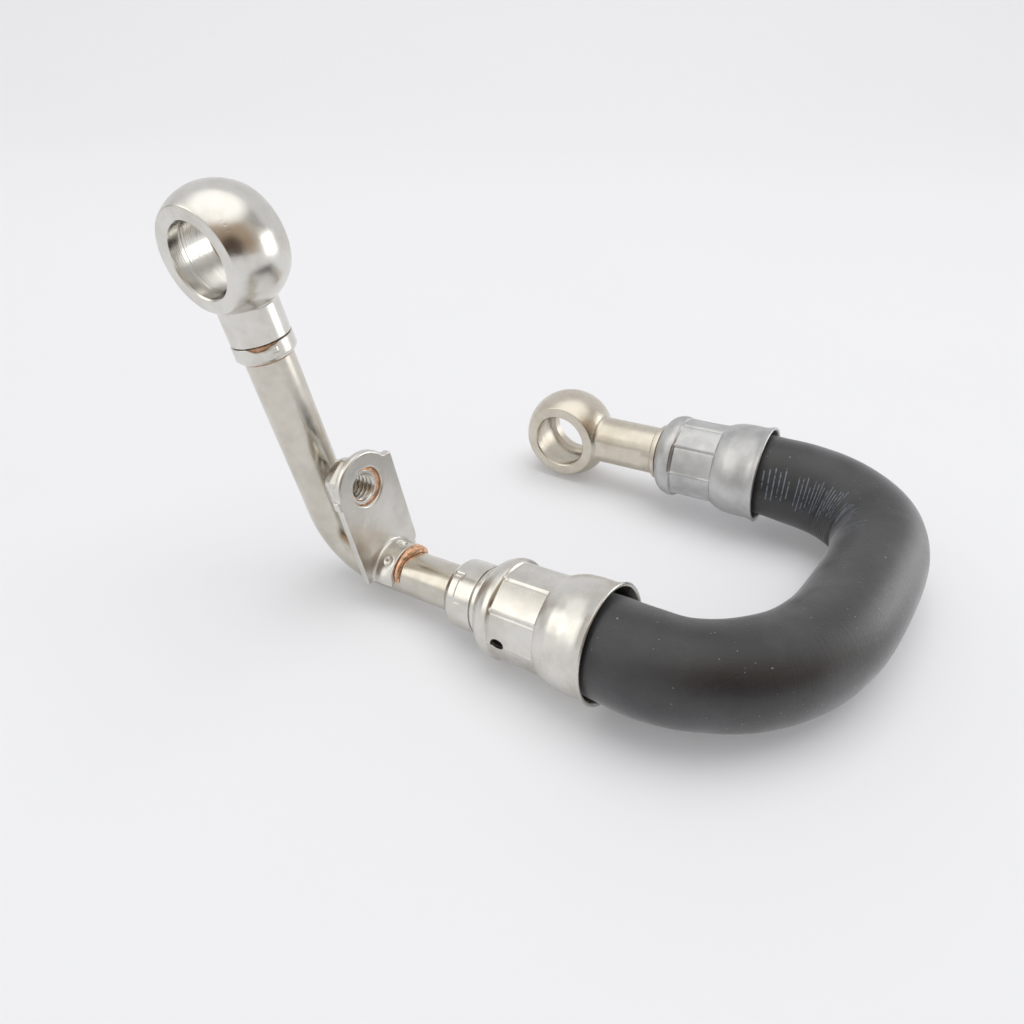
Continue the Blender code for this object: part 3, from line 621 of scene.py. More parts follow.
def upright_eye_mesh(sizes):
    """Ball, neck and socket turned about the neck's axis, as one closed skin from pole to pole."""
    neck, seat = sizes.socket_diameter / 2 / MM, sizes.tube_diameter / 2 / MM + FIT_GAP
    outline = ball_and_neck(sizes.ball_diameter / 2 / MM, neck, 0.9)
    foot = rounded(
        [
            (neck, outline[-1, 1], 0.0),
            (neck, -SOCKET_LENGTH, 0.22),
            (seat, -SOCKET_LENGTH, 0.15),
            (seat, -SOCKET_LENGTH + SOCKET_DEPTH, 0.1),
            (TAIL_BORE, -SOCKET_LENGTH + SOCKET_DEPTH, 0.1),
            (TAIL_BORE, -2.0, 0.0),
            (0.0, -2.0, 0.0),
        ],
        4,
        closed=False,
    )

    def uneven(radius, station, angle):
        """The socket's foot is trimmed a little aslant."""
        low = smooth_step(-station, SOCKET_LENGTH - 1.2, SOCKET_LENGTH) * (radius > 5.2)
        return radius, station + low * 0.10 * np.cos(angle - math.radians(52.0))

    return skin(np.concatenate([outline, foot[1:]]), NECK, 288, uneven)


def far_eye_mesh(sizes):
    """Ball, neck, flange pair and barbed tail, turned about the hose end's axis."""
    neck = sizes.far_neck_diameter / 2 / MM
    outline = ball_and_neck(sizes.ball_diameter / 2 / MM, neck, 1.3)
    outline[:, 1] += FAR_MOUTH_TO_EYE
    groove = FERRULE_LENGTH + FIT_GAP + FLANGE_LENGTH
    foot = rounded(
        [
            (neck, outline[-1, 1], 0.0),
            (neck, groove + 0.75, 0.25),
            (6.55, groove + 0.45, 0.1),
            (6.5, groove + 0.1, 0.06),
            (7.1, groove - 0.1, 0.2),
            (7.1, FERRULE_LENGTH + FIT_GAP, 0.16),
            *tail_corners(),
            (TAIL_BORE, 4.0, 0.2),
            (TAIL_BORE, FAR_MOUTH_TO_EYE - 3.0, 0.0),
            (0.0, FAR_MOUTH_TO_EYE - 3.0, 0.0),
        ],
        4,
        closed=False,
    )
    return skin(np.concatenate([outline, foot[1:]]), FAR, 288)


def tail_corners():
    """The grip and the barbs inside the hose, as (radius, distance back, fillet)."""
    end = FERRULE_LENGTH - FERRULE_WALL - HOSE_SHORT_OF_END
    corners = [(6.2, FERRULE_LENGTH + FIT_GAP, 0.0), (6.2, end, 0.1), (TAIL_RADIUS, end, 0.0)]
    pitch = (CRIMP[1] - CRIMP[0]) / 3
    for i in (2, 1, 0):
        start = CRIMP[0] + pitch * i
        back, tip = start + pitch * 0.95, start + pitch * 0.9
        corners += [(TAIL_RADIUS, back, 0.0), (TAIL_RADIUS + 0.5, tip, 0.05), (TAIL_RADIUS, start, 0.1)]
    return corners + [(TAIL_RADIUS, 4.3, 0.0), (TAIL_RADIUS - 0.3, 4.0, 0.05)]


# Steel tube and the rings on it


def tube_mesh(sizes):
    """Two straights and an arc between them, with a round wall carried along: each ring is the
    point of the route plus the radius times the cosine and sine in the plane square to it."""
    corner, up, run = np.array(CORNER), unit(np.array(UP)), unit(np.array(RUN))
    turn = math.pi - math.acos(float(up @ run))
    tangent = BEND_RADIUS * math.tan(turn / 2)
    centre = corner + unit(up + run) * math.hypot(BEND_RADIUS, tangent)
    flat = unit(np.cross(-up, run))
    top = UPRIGHT_LENGTH - SOCKET_LENGTH + SOCKET_DEPTH - FIT_GAP
    start_at = FERRULE_LENGTH + FIT_GAP + FLANGE_LENGTH + FLANGE_GROOVE
    end = RUN_LENGTH - start_at - FIT_GAP
    down = np.linspace(top, tangent, 60)[:, None]
    out = np.linspace(tangent, end, 40)[1:, None]
    swing = np.linspace(0.0, turn, 48)[1:-1, None]
    first = corner + up * tangent - centre
    bend = centre + np.cos(swing) * first + np.sin(swing) * np.cross(flat, first)
    route = np.concatenate([corner + up * down, bend, corner + run * out])
    side = unit(np.cross(unit(np.gradient(route, axis=0)), flat))
    angle = np.linspace(0.0, 2 * np.pi, 128, endpoint=False)[None]
    radius = sizes.tube_diameter / 2 / MM
    done = distances(route)[:, None]
    in_bend = bump_at(done, top - tangent + BEND_RADIUS * turn / 2, 9.0)
    squeeze = 0.16 * in_bend * np.cos(2 * angle)
    outer = radius - squeeze + 0.02 * ripple(angle, done, 3, 0.2)
    inner = radius - TUBE_WALL + 0.0 * squeeze
    outside, inside = (carried(route, side, flat, angle, wall) for wall in (outer, inner))
    return grid_mesh(np.concatenate([outside, inside[::-1]]))


def carried(route, side, up, angle, radius):
    """Rings along a route, in metres: the route's point plus the radius times the cosine of the
    angle towards the side and its sine towards up."""
    offset = np.cos(angle)[..., None] * side[:, None] + np.sin(angle)[..., None] * up[..., None, :]
    return (route[:, None] + offset * radius[..., None]) * MM


SLIT_BEARING = 50.0
PAD_BEARING = 66.0
PAD_HEIGHT = 0.12
RING_FOOT = -SOCKET_LENGTH - FIT_GAP - SLIT - FIT_GAP - RING_LENGTH


def ring_mesh():
    """The locating ring: it closes up to the socket but for a slit on the seen side, where its
    top edge falls away, and it carries a plain raised pad."""
    top, inner, outer = -SOCKET_LENGTH - 0.06, 5.3, 6.2
    outside = [(outer - 0.06, top, 0.12), (outer, RING_FOOT + 0.75, 0.3), (5.6, RING_FOOT, 0.2)]
    corners = [*outside, (inner, RING_FOOT, 0.1), (inner, top, 0.05)]
    profile = spread(rounded(corners, 4), 0.12)

    def edge(radius, station, angle):
        near_top = smooth_step(station, top - 1.3, top - 0.1)
        from_pad = turn_from(angle, PAD_BEARING)
        fall = 0.86 * band(turn_from(angle, SLIT_BEARING), 0.20, 0.58)
        fall = fall * (1.0 - 0.55 * bump_at(from_pad, 0.0, 0.13))
        moved = station - near_top * fall
        pad = band(from_pad * outer, 0.75, 0.95)
        pad = pad * band(station - (top - 1.15), 0.55, 0.75) * (radius > 5.9)
        return radius + PAD_HEIGHT * pad + 0.015 * ripple(angle, station, 5), moved

    return grid_mesh(turned(profile, NECK, 300, edge))


def bead_mesh(place, corners, seed, amount, extra=None):
    """A run of braze: a rounded ring whose outer side swells and thins unevenly round it."""
    profile = spread(rounded(corners, 4), 0.14)
    inner = min(corner[0] for corner in corners)

    def flow(radius, station, angle):
        out = smooth_step(radius, inner + 0.05, inner + 0.35)
        swell = ripple(angle, station, seed, 0.6) + 0.35 * ripple(3 * angle, station * 2, seed + 1)
        radius = radius + out * amount * swell
        if extra:
            radius, station = extra(radius, station, angle, out)
        return np.maximum(radius, inner), station

    return grid_mesh(turned(profile, place, 220, flow))


# Bracket and nut


def strip_outline_points():
    """The plate's outline about the nut's axis, as one closed line of corners with fillets."""
    foot = 1.0 - BRACKET_REACH
    corners = [
        (-7.95, foot, 0.35),
        (8.7, foot, 2.0),
        (8.75, 1.7, 0.25),
        (8.75, 3.7, 0.75),
        (7.15, 3.9, 0.4),
    ]
    top = np.linspace(math.radians(33.0), math.radians(166.0), 30)
    corners += [(7.7 * math.cos(a), 7.7 * math.sin(a), 0.0) for a in top]
    corners += [(-7.62, 1.2, 0.2), (-8.42, 1.0, 0.35), (-8.44, -0.7, 0.3), (-8.0, -1.1, 0.3)]
    return rounded(corners, 5)


def plate_mesh():
    """The plate: for each direction from the hole's centre, a closed section runs from the hole
    to the outline on the front, over the edge, and back on the rear, with both edges rounded."""
    outline = spread(strip_outline_points(), 0.4)
    bearing = np.arctan2(outline[:, 1], outline[:, 0])
    order = np.argsort(bearing)
    angle = bearing[order]
    reach = np.hypot(outline[:, 0], outline[:, 1])[order]
    keep = np.concatenate([[True], np.diff(angle) > 1e-5])
    angle, reach = angle[keep], reach[keep]
    hole, thick = 4.15, BRACKET_THICK
    fixed = rounded_section(thick)
    share, inset, height = fixed[:, 0], fixed[:, 1], fixed[:, 2]
    near = hole + inset
    far = reach[None] - inset[:, None]
    radius = near[:, None] * (1 - share[:, None]) + far * share[:, None]
    x, y = radius * np.cos(angle), radius * np.sin(angle)
    local = np.stack([x, y, height[:, None] + 0.0 * radius], -1)
    return grid_mesh(world(local, NUT))


def rounded_section(thick):
    """Rows of the plate's closed section as (share from hole to outline, inset, height)."""
    rows = []
    quarter = np.linspace(0.0, np.pi / 2, 6)
    corners = ((0.0, True, 0.45), (1.0, True, 0.5), (1.0, False, 0.2), (0.0, False, 0.2))
    for share, top, ease in corners:
        swing = quarter if top == (share == 0.0) else quarter[::-1]
        inset = ease * (1.0 - np.cos(swing))
        drop = ease * (1.0 - np.sin(swing))
        height = -drop if top else -thick + drop
        rows.append(np.stack([np.full(6, share), inset, height], -1))
    hole_top, rim_top, rim_low, hole_low = rows
    shares = (0.03, 0.12, 0.3, 0.5, 0.7, 0.88, 0.97)
    front = [(share, 0.45, 0.0) for share in shares]
    back = [(share, 0.2, -thick) for share in shares[::-1]]
    return np.concatenate([hole_top, front, rim_top, rim_low, back, hole_low])


DIMPLES = ((123.0, 3.2), (71.0, 3.1))
SADDLE_END = 5.25


def saddle_mesh():
    """The sleeve drawn from the plate's foot, with a fillet at the plate and two staked dimples:
    round cups whose depth falls off with the distance over the surface."""
    outside = [(6.35, SADDLE_END, 0.22), (6.32, 0.0, 1.25), (7.9, 0.0, 0.0), (7.9, -1.25, 0.0)]
    profile = spread(rounded([*outside, (4.7, -1.25, 0.0), (4.7, SADDLE_END, 0.0)], 8), 0.2)

    def staked(radius, station, angle):
        for turn, at in DIMPLES:
            away = np.hypot(turn_from(angle, turn) * 6.3, station - at)
            cup = 0.75 * band(away, 0.25, 1.0) - 0.12 * bump_at(away, 1.2, 0.25)
            radius = radius - cup * (radius > 6.0) * (station > 0.3)
        lobe = bump_at(turn_from(angle, 162.0) * 6.3, 0.0, 1.5) * bump_at(station, 2.6, 1.7)
        uneven = 0.05 * ripple(angle, station, 21) + 0.40 * lobe
        return radius + uneven * (radius > 5.6) * (station > 0.3), station

    return grid_mesh(turned(profile, STRIP, 280, staked))


def block_mesh(place, low, high):
    """A box between two corners in a placement's own millimetres."""
    low, high = np.array(low, float), np.array(high, float)
    square = ((0, 0), (1, 0), (1, 1), (0, 1))
    corner = np.array([[[x, y, z] for x, y in square] for z in (0, 1)], float)
    ends = np.array([[[0.5, 0.5, 0.0]] * 4, [[0.5, 0.5, 1.0]] * 4])
    share = np.concatenate([ends[:1], corner, ends[1:]])
    return grid_mesh(world(low + share * (high - low), place), wrap_rows=False)


def rod_mesh(place, radius, low, high):
    """A plain round bar about the placement's Z."""
    line = held(np.array([(0.0, low), (radius, low), (radius, high), (0.0, high)]), False)
    return skin(line, place, 128)


def nut_mesh():
    """The nut: six flats with rounded corners that taper to the back, a pilot in the plate's hole,
    and a thread. The thread's radius is a rounded wave of the station over the pitch plus the
    turn, so it climbs one pitch in each turn."""
    pitch, crest = 1.15, 2.55
    high, seat, low = -0.75, -BRACKET_THICK - FIT_GAP, -BRACKET_THICK - FIT_GAP - 5.6
    corners = [
        (3.68, high, 0.12),
        (3.68, seat, 0.1),
        (5.75, seat, 0.3),
        (5.75, seat - 2.6, 1.6),
        (4.5, low, 0.9),
        (crest + 0.7, low, 0.1),
        (crest, low + 0.7, 0.05),
        (crest, high - 0.6, 0.05),
        (crest + 0.55, high, 0.05),
    ]
    profile = spread(rounded(corners, 4), 0.085)

    def shaped(radius, station, angle):
        from_flat = (angle + np.pi / 6) % (np.pi / 3) - np.pi / 6
        flat = 1.0 / np.cos(from_flat)
        soft = np.minimum(flat, 1.115) - 0.02 * smooth_step(flat, 1.08, 1.155)
        corner = (radius > 4.0) * smooth_step(radius, 4.0, 5.0)
        inner = (radius < 3.3) & (station < high - 0.1) & (station > low + 0.1)
        wave = np.cos(2 * np.pi * (station / pitch) + angle)
        fade = smooth_step(station, low, low + 1.0) * smooth_step(-station, -high, -high + 0.8)
        thread = inner * (0.34 * (1 - np.abs(wave) ** 1.2 * np.sign(wave))) * fade
        return radius * (1 + corner * (soft - 1)) + thread, station

    place = placement(NUT["origin"] - 0.35 * NUT["axes"][0], RUN, STRIP_SIDE)
    return grid_mesh(turned(profile, place, 252, shaped))


# Nipple and ferrules


def nipple_mesh():
    """Collar, groove, flange, grip and barbs about the near hose end's axis. The collar carries a
    shallow tool mark and a step."""
    back = FERRULE_LENGTH + FIT_GAP
    groove = back + FLANGE_LENGTH
    start = groove + FLANGE_GROOVE
    end = start + COLLAR_LENGTH
    corners = [
        *reversed(tail_corners()),
        (COLLAR_RADIUS, back, 0.2),
        (COLLAR_RADIUS, groove, 0.14),
        (6.85, groove + 0.1, 0.05),
        (6.85, start - 0.05, 0.05),
        (COLLAR_RADIUS, start, 0.1),
        (COLLAR_RADIUS + 0.02, end - 1.5, 0.35),
        (6.55, end - 0.35, 0.3),
        (6.15, end, 0.12),
        (5.3, end, 0.1),
        (5.3, start, 0.0),
        (TAIL_BORE, start - 1.5, 0.0),
        (TAIL_BORE, 4.0, 0.2),
    ]

    def step(radius, station):
        return 0.14 if radius > 6.5 and station > start else 0.6

    profile = spread(rounded(corners, 4), step)

    def marked(radius, station, angle):
        outside = (radius > 6.5) & (station > start)
        from_mark = turn_from(angle, -27.0)
        inside = band(from_mark * COLLAR_RADIUS, 0.68, 0.85) * band(station - 33.2, 1.15, 1.35)
        line = bump_at(turn_from(angle, -69.0) * COLLAR_RADIUS, 0.0, 0.14) * band(station - 31.8, 1.0, 1.2)
        edge = smooth_step(-from_mark, -0.02, 0.02)
        raised = smooth_step(station, 32.4, 32.55) * edge
        return radius - outside * (0.14 * inside + 0.08 * line + 0.06 * raised), station

    return grid_mesh(turned(profile, NEAR, 320, marked))


def smooth_line(stations, radii, at):
    """A curve through the given points without overshoot: a cubic in each stretch whose end
    slopes are the harmonic mean of its neighbours' slopes, or zero at a turn."""
    x, y = np.array(stations, float), np.array(radii, float)
    width = np.diff(x)
    slope = np.diff(y) / width
    product = slope[1:] * slope[:-1]
    inner = np.where(product > 0, 2 * product / (slope[1:] + slope[:-1] + 1e-12), 0.0)
    ends = np.concatenate([slope[:1], inner, slope[-1:]])
    i = np.clip(np.searchsorted(x, at) - 1, 0, len(x) - 2)
    t = np.clip((at - x[i]) / width[i], 0.0, 1.0)
    h00, h10 = 2 * t**3 - 3 * t**2 + 1, t**3 - 2 * t**2 + t
    h01, h11 = -2 * t**3 + 3 * t**2, t**3 - t**2
    return h00 * y[i] + h10 * width[i] * ends[i] + h01 * y[i + 1] + h11 * width[i] * ends[i + 1]


# The sleeve's outline as (station, radius): the bell, the crimped length and the closed end.
SLEEVE = (
    *((0.3, 12.02), (0.9, 11.84), (1.7, 11.60), (2.7, 11.50), (5.2, 11.55), (7.8, 11.38)),
    *((9.3, 11.00), (10.3, 10.64), (11.0, 10.32)),
    *((11.4, 10.12), (16.0, 10.12), (21.3, 10.12)),
    *((21.6, 10.2), (22.1, 10.50), (22.9, 10.52), (24.0, 10.28)),
    *((25.1, 9.72), (25.9, 9.0), (26.45, 8.2), (26.7, 7.6)),
)
# The crimp: its middle, the flats, and the raised line, crease and lap between each two flats.
CRIMP_MIDDLE = 16.4
FLAT_RADIUS = 10.1
FLATNESS = 0.52
FLAT_DEPTH = 0.05
RIDGE_HEIGHT = 0.17
CREASE_DEPTH = 0.07
LAP_HEIGHT = 0.05

# Where rings lie on the sleeve's outside and inside: first station, last station and count.
SLEEVE_STRETCHES = (
    (0.3, 10.7, 48),
    (10.8, 11.7, 12),
    (11.9, 20.9, 34),
    (21.0, 22.4, 20),
    (22.55, 26.7, 28),
)
BORE_STRETCHES = ((0.3, 11.0, 20), (11.4, 11.4, 1), (12.0, 21.0, 6), (21.3, 25.3, 10))


def ferrule_mesh(place, turn, seed, dents):
    """A sleeve of even wall. Its crimped length is a polygon: the radius there is that of flats
    round the axis, with a raised line left between each two, and creases at both ends."""
    wall = FERRULE_WALL
    stations, within = (
        np.concatenate([np.linspace(*stretch) for stretch in stretches])
        for stretches in (SLEEVE_STRETCHES, BORE_STRETCHES)
    )
    radii = smooth_line(*zip(*SLEEVE), stations)
    outer = np.stack([radii, stations], -1)
    rim = np.linspace(0.0, np.pi, 8)[1:-1]
    lip = np.stack([radii[0] - wall / 2 + wall / 2 * np.cos(rim), 0.35 - 0.33 * np.sin(rim)], -1)
    inner = np.stack([smooth_line(*zip(*SLEEVE), within) - wall, within], -1)
    end = FERRULE_LENGTH
    corners = [(7.6, 26.7, 0.0), (7.35, end - 0.02, 0.1), (6.5, end, 0.1), (6.5, end - wall, 0.1)]
    back = rounded([*corners, (inner[-1, 0], end - wall, 0.0)], 3, closed=False)[1:-1]
    profile = np.concatenate([outer, back, inner[::-1], lip[::-1]])
    half = np.pi / CRIMP_FLATS

    def crimped(radius, station, angle):
        from_ridge = turn_from(angle * CRIMP_FLATS, turn * CRIMP_FLATS) / CRIMP_FLATS
        from_flat = half - np.abs(from_ridge)
        inside = smooth_step(station, CRIMP[0] - 0.35, CRIMP[0] + 0.25)
        inside = inside * smooth_step(-station, -CRIMP[1] - 0.05, -CRIMP[1] + 0.3)
        flat = np.cos(half) / np.cos(from_flat)
        sink = radius * (1 - flat)
        away = from_ridge * FLAT_RADIUS
        fade = 0.55 + 0.45 * smooth_step(np.abs(station - CRIMP_MIDDLE), 1.0, 4.5)
        ridge = RIDGE_HEIGHT * bump_at(away, 0.0, 0.24) * fade
        crease = CREASE_DEPTH * bump_at(away, -0.42, 0.22)
        lap = LAP_HEIGHT * np.sign(away) * bump_at(away, 0.0, 0.9)
        radius = radius - inside * (FLATNESS * sink + FLAT_DEPTH - ridge + crease - lap)
        soft = 0.045 * ripple(angle, station, seed, 0.35) * smooth_step(station, 0.8, 3.0)
        radius = radius + (station < 26.0) * soft
        flared = 0.05 * ripple(angle, 0.0, seed + 5) * smooth_step(-station, -1.6, -0.3)
        return dents(radius + flared, station, angle), station

    return grid_mesh(turned(profile, place, FERRULE_STEPS, crimped))


# Bearing, station, size and depth of three hollows in the bell and one on the shoulder.
NEAR_DENTS = (
    (-44.0, 7.2, 1.5, 0.10),
    (-62.0, 7.4, 1.6, 0.12),
    (-30.0, 8.1, 1.2, 0.07),
    (-18.0, 21.2, 0.5, 0.10),
)


def near_dents(radius, station, angle):
    """Shallow hollows, each with a low rim."""
    for turn, at, size, depth in NEAR_DENTS:
        away = np.hypot(turn_from(angle, turn) * 11.0, station - at)
        hollow = bump_at(away, 0.0, size) - 0.3 * bump_at(away, 1.7 * size, 0.5 * size)
        radius = radius - depth * hollow
    return radius


def far_dents(radius, station, angle):
    """One flat battered by the press: many small pits, and a folded slit along the crease."""
    around = turn_from(angle, -109.0) * 10.0
    patch = band(around, 2.2, 3.4) * band(station - 16.5, 4.0, 5.2)
    rough = np.sin(7.1 * around + 2.0 * np.sin(2.3 * station))
    rough = rough * np.sin(5.3 * station + 1.7 * np.sin(3.1 * around))
    radius = radius - patch * (0.05 + 0.075 * rough)
    slit = bump_at(station, 21.9, 0.16) * band(turn_from(angle, -69.5), 0.27, 0.34)
    wide = 0.10 * bump_at(station, 5.5, 2.0) * bump_at(turn_from(angle, -62.0), 0.0, 0.35)
    return radius - 0.30 * slit + wide


def sight_hole_mesh():
    """An oval bar square to the near ferrule's axis, where its sight hole is."""
    turn = math.radians(-95.6)
    axes = NEAR["axes"]
    out = math.cos(turn) * axes[0] + math.sin(turn) * axes[1]
    place = placement(NEAR["origin"] + 19.4 * axes[2], out, axes[2])
    line = np.array([(0.0, 7.0), (1.0, 7.0), (1.0, 12.0), (0.0, 12.0)])
    angle = np.linspace(0.0, 2 * np.pi, 48, endpoint=False)[None]
    along, across = 1.55 * line[:, :1] * np.cos(angle), 1.12 * line[:, :1] * np.sin(angle)
    local = np.stack([along, across, line[:, 1:] + 0.0 * angle], -1)
    return grid_mesh(world(local, place), wrap_rows=False)


# Hose


def smooth_route(points, count):
    """Evenly spread points on the curve through the given ones: in each stretch three rounds of
    straight blends between neighbours, timed by the root of the distance between points."""
    points = np.array(points)
    steps = np.sqrt(np.linalg.norm(np.diff(points, axis=0), axis=1))
    times = np.concatenate([[0.0], np.cumsum(steps)])
    t = np.linspace(times[1], times[-2], 4000)
    i = np.clip(np.searchsorted(times, t, side="right") - 1, 1, len(points) - 3)
    p = [points[i - 1 + k] for k in range(4)]
    s = [times[i - 1 + k][:, None] for k in range(4)]
    t = t[:, None]

    def between(a, b, low, high):
        return a + (b - a) * (t - low) / (high - low)

    a1, a2, a3 = (between(p[k], p[k + 1], s[k], s[k + 1]) for k in range(3))
    b1, b2 = between(a1, a2, s[0], s[2]), between(a2, a3, s[1], s[3])
    fine = between(b1, b2, s[1], s[2])
    done = distances(fine)
    wanted = np.linspace(0.0, done[-1], count)
    return np.stack([np.interp(wanted, done, fine[:, k]) for k in range(3)], -1), wanted


def hose_route(count=500):
    """The hose's middle line from end to end, and how far back in a ferrule each point lies."""
    lean = np.array(LEAN)
    near, far = np.array(NEAR_MOUTH), np.array(FAR_MOUTH)
    run, tail = np.array(RUN), np.array(TAIL)
    start, guide = TURN_STARTS_INSIDE, TURN_STARTS_INSIDE + GUIDE
    depth = FERRULE_LENGTH - FERRULE_WALL - HOSE_SHORT_OF_END
    turn = [near + lean @ np.array(p) for p in HOSE_TURN_NEAR]
    turn += [far + lean @ np.array(p) for p in HOSE_TURN_FAR]
    ends = [far + tail * start, far + tail * guide]
    bend, done = smooth_route([near - run * guide, near - run * start, *turn, *ends], count)
    inside = np.linspace(depth, start, 24)[:-1]
    route = np.concatenate([near - inside[:, None] * run, bend, far + inside[::-1, None] * tail])
    back = np.concatenate([inside, start - np.minimum(done, done[-1] - done), inside[::-1]])
    for _ in range(3):
        route[1:-1] = 0.25 * route[:-2] + 0.5 * route[1:-1] + 0.25 * route[2:]
    return route, back


def hose_radius(back, sizes):
    """The outer radius: crimped small deep in a ferrule, swelling to its free size outside."""
    crimped, mouth, free = 8.55, sizes.hose_mouth_diameter / 2 / MM, sizes.hose_diameter / 2 / MM
    share = np.clip(1.0 - back / (CRIMP[0] - 1.0), 0.0, 1.0)
    inside = crimped + (mouth - crimped) * np.sqrt(share)
    outside = mouth + (free - mouth) * smooth_step(-back, 0.0, 9.0)
    return np.where(back >= 0.0, inside, outside)


def hose_mesh(sizes):
    """A round wall carried along the route. Each ring's up is the world's up made square to the
    route, so the hose doesn't twist. Fine wrinkles cross the inside of the tight bend."""
    route, back = hose_route()
    done = distances(route)
    route[:, 2] += LIFT * bump_at(done, *LIFTED)
    heading = unit(np.gradient(route, axis=0))
    up = unit(np.array([0.0, 0.0, 1.0]) - heading[:, 2:3] * heading)
    side = np.cross(heading, up)
    angle = np.linspace(-0.5 * np.pi, 1.5 * np.pi, 128, endpoint=False)[None]
    outer = hose_radius(back, sizes) - SLIMMER * bump_at(done, *LIFTED)
    outer = outer[:, None] + 0.0 * angle
    curl = np.cross(heading[:-2], heading[2:])[:, 2]
    step = np.linalg.norm(np.diff(route, axis=0), axis=1)[1:]
    bend = np.abs(np.concatenate([curl[:1], curl / (2 * step), curl[-1:]]))
    kernel = np.hanning(25) / np.hanning(25).sum()
    bend = np.convolve(np.pad(bend, 12, mode="edge"), kernel, mode="valid")
    tight = smooth_step(bend, 0.018, 0.05)[:, None]
    inner_side = smooth_step(-np.cos(angle), 0.45, 0.95)
    at, back = done[:, None], back[:, None]
    folds = np.sin(at * 2 * np.pi / 1.15 + 0.8 * np.sin(at * 0.9) + 0.6 * np.sin(3 * angle))
    squash = 0.10 * tight * np.cos(2 * angle)
    outer = outer + (0.06 * tight * inner_side * folds - squash) * (back < 0.0)
    outer = outer + 0.035 * ripple(angle, at, 31, 0.15) * (back < -2.0)
    bore = sizes.hose_bore / 2 / MM + 0.0 * outer
    outer[0] -= 0.25
    outer[-1] -= 0.25
    rings, spots = [], []
    coarse = np.unique(np.append(np.arange(0, len(route), 7), len(route) - 1))
    for radius, kept in ((outer, np.arange(len(route))), (bore, coarse)):
        rings.append(carried(route[kept], side[kept], up[kept], angle, radius[kept]))
        along, around = done[kept, None] * MM, (angle / np.pi + 0.5) / 2
        spots.append(np.stack(np.broadcast_arrays(along, around), -1))
    points = np.concatenate([rings[0], rings[1][::-1]])
    return grid_mesh(points, uv=np.concatenate([spots[0], spots[1][::-1]]))


# Sizes, colours and steps


def length(name, description, default):
    shown = {"unit": "LENGTH", "subtype": "DISTANCE", "precision": 5}
    return FloatProperty(name=name, description=description, default=default, min=0.0001, **shown)


def colour(name, description, default):
    shown = {"size": 3, "min": 0.0, "max": 1.0, "subtype": "COLOR"}
    return FloatVectorProperty(name=name, description=description, default=default, **shown)


class LineSizes(bpy.types.PropertyGroup):
    ball_diameter: length("Ball diameter", "Diameter of both eye fittings' balls", 0.0238)
    eye_width: length("Eye width", "Distance between the two flat faces of an eye", 0.0135)
    bore_diameter: length("Eye bore", "Bore of both eyes", 0.0142)
    socket_diameter: length("Socket diameter", "Outside of the upright eye's socket", 0.0120)
    far_neck_diameter: length("Far neck diameter", "Outside of the far eye's neck", 0.0123)
    tube_diameter: length("Tube diameter", "Outside of the steel tube", 0.0100)
    hose_diameter: length("Hose diameter", "Outside of the hose between its ferrules", 0.0207)
    hose_mouth_diameter: length("Hose at the mouth", "Outside of the hose by a ferrule", 0.0199)
    hose_bore: length("Hose bore", "Inside of the hose", 0.0116)


class LineColours(bpy.types.PropertyGroup):
    nickel: colour("Nickel", "Plating of the tube, the bracket and the near fittings", (0.735, 0.72, 0.68))
    nickel_shade: colour("Nickel shade", "Duller patches of the plating", (0.63, 0.605, 0.555))
    champagne: colour("Champagne", "Plating of the far eye", (0.68, 0.63, 0.545))
    champagne_shade: colour("Champagne shade", "Duller patches of the far eye", (0.58, 0.53, 0.44))
    zinc: colour("Zinc", "Coating of the far ferrule", (0.60, 0.60, 0.595))
    zinc_shade: colour("Zinc shade", "Duller patches of the far ferrule", (0.46, 0.46, 0.458))
    copper: colour("Copper", "Braze", (0.95, 0.56, 0.35))
    rubber: colour("Rubber", "Hose", (0.0046, 0.0045, 0.0054))
    mark: colour("Marks", "Plain marks on the hose", (0.36, 0.42, 0.50))
    floor: colour("Floor", "Floor and backdrop", (0.86, 0.86, 0.872))


def plating(colours, name, rough, places, pits=0.0, worn=None, cast=(1.0, 1.0, 1.0)):
    """Nickel of one roughness, with its colours dulled by the cast."""
    kinds = (colours.nickel, colours.nickel_shade)
    tint, shade = (tuple(dull * c for dull, c in zip(cast, kind)) for kind in kinds)
    return plated(name, tint, shade, rough, places, pits, worn=worn)


class LINE_OT_upright_eye(bpy.types.Operator):
    """Make the eye fitting at the top of the upright tube"""

    bl_idname = "coolant_line.upright_eye"
    bl_label = "Upright eye"

    def execute(self, context):
        sizes, colours = context.scene.line_sizes, context.scene.line_colours
        axis = UPRIGHT_EYE_AXIS
        places = [(axis, 5200.0, 4200.0, 0.5, None), (axis, 900.0, 2600.0, 3.5, 0.0084)]
        look = plating(colours, "turned nickel", 0.21, places, 1.6, worn=(WORN_SPOT, WORN_REACH))
        cuts = [bore_spool(sizes, axis, 0.3)]
        eye = upright_eye_mesh(sizes)
        piece("upright_banjo_eye", eye, "upright_eye", look, cuts=cuts)
        return {"FINISHED"}


class LINE_OT_far_eye(bpy.types.Operator):
    """Make the eye fitting at the far end, with its neck and tail"""

    bl_idname = "coolant_line.far_eye"
    bl_label = "Far eye"

    def execute(self, context):
        sizes, colours = context.scene.line_sizes, context.scene.line_colours
        places = [(FAR, 0.0, 3600.0, 0.9, None), (FAR_EYE_AXIS, 4200.0, 0.0, 0.6, None)]
        tint, shade = tuple(colours.champagne), tuple(colours.champagne_shade)
        look = plated("champagne nickel", tint, shade, 0.30, places, 0.8)
        cuts = [bore_spool(sizes, FAR_EYE_AXIS, 0.25)]
        piece("far_banjo_eye", far_eye_mesh(sizes), "far_eye", look, cuts=cuts)
        return {"FINISHED"}


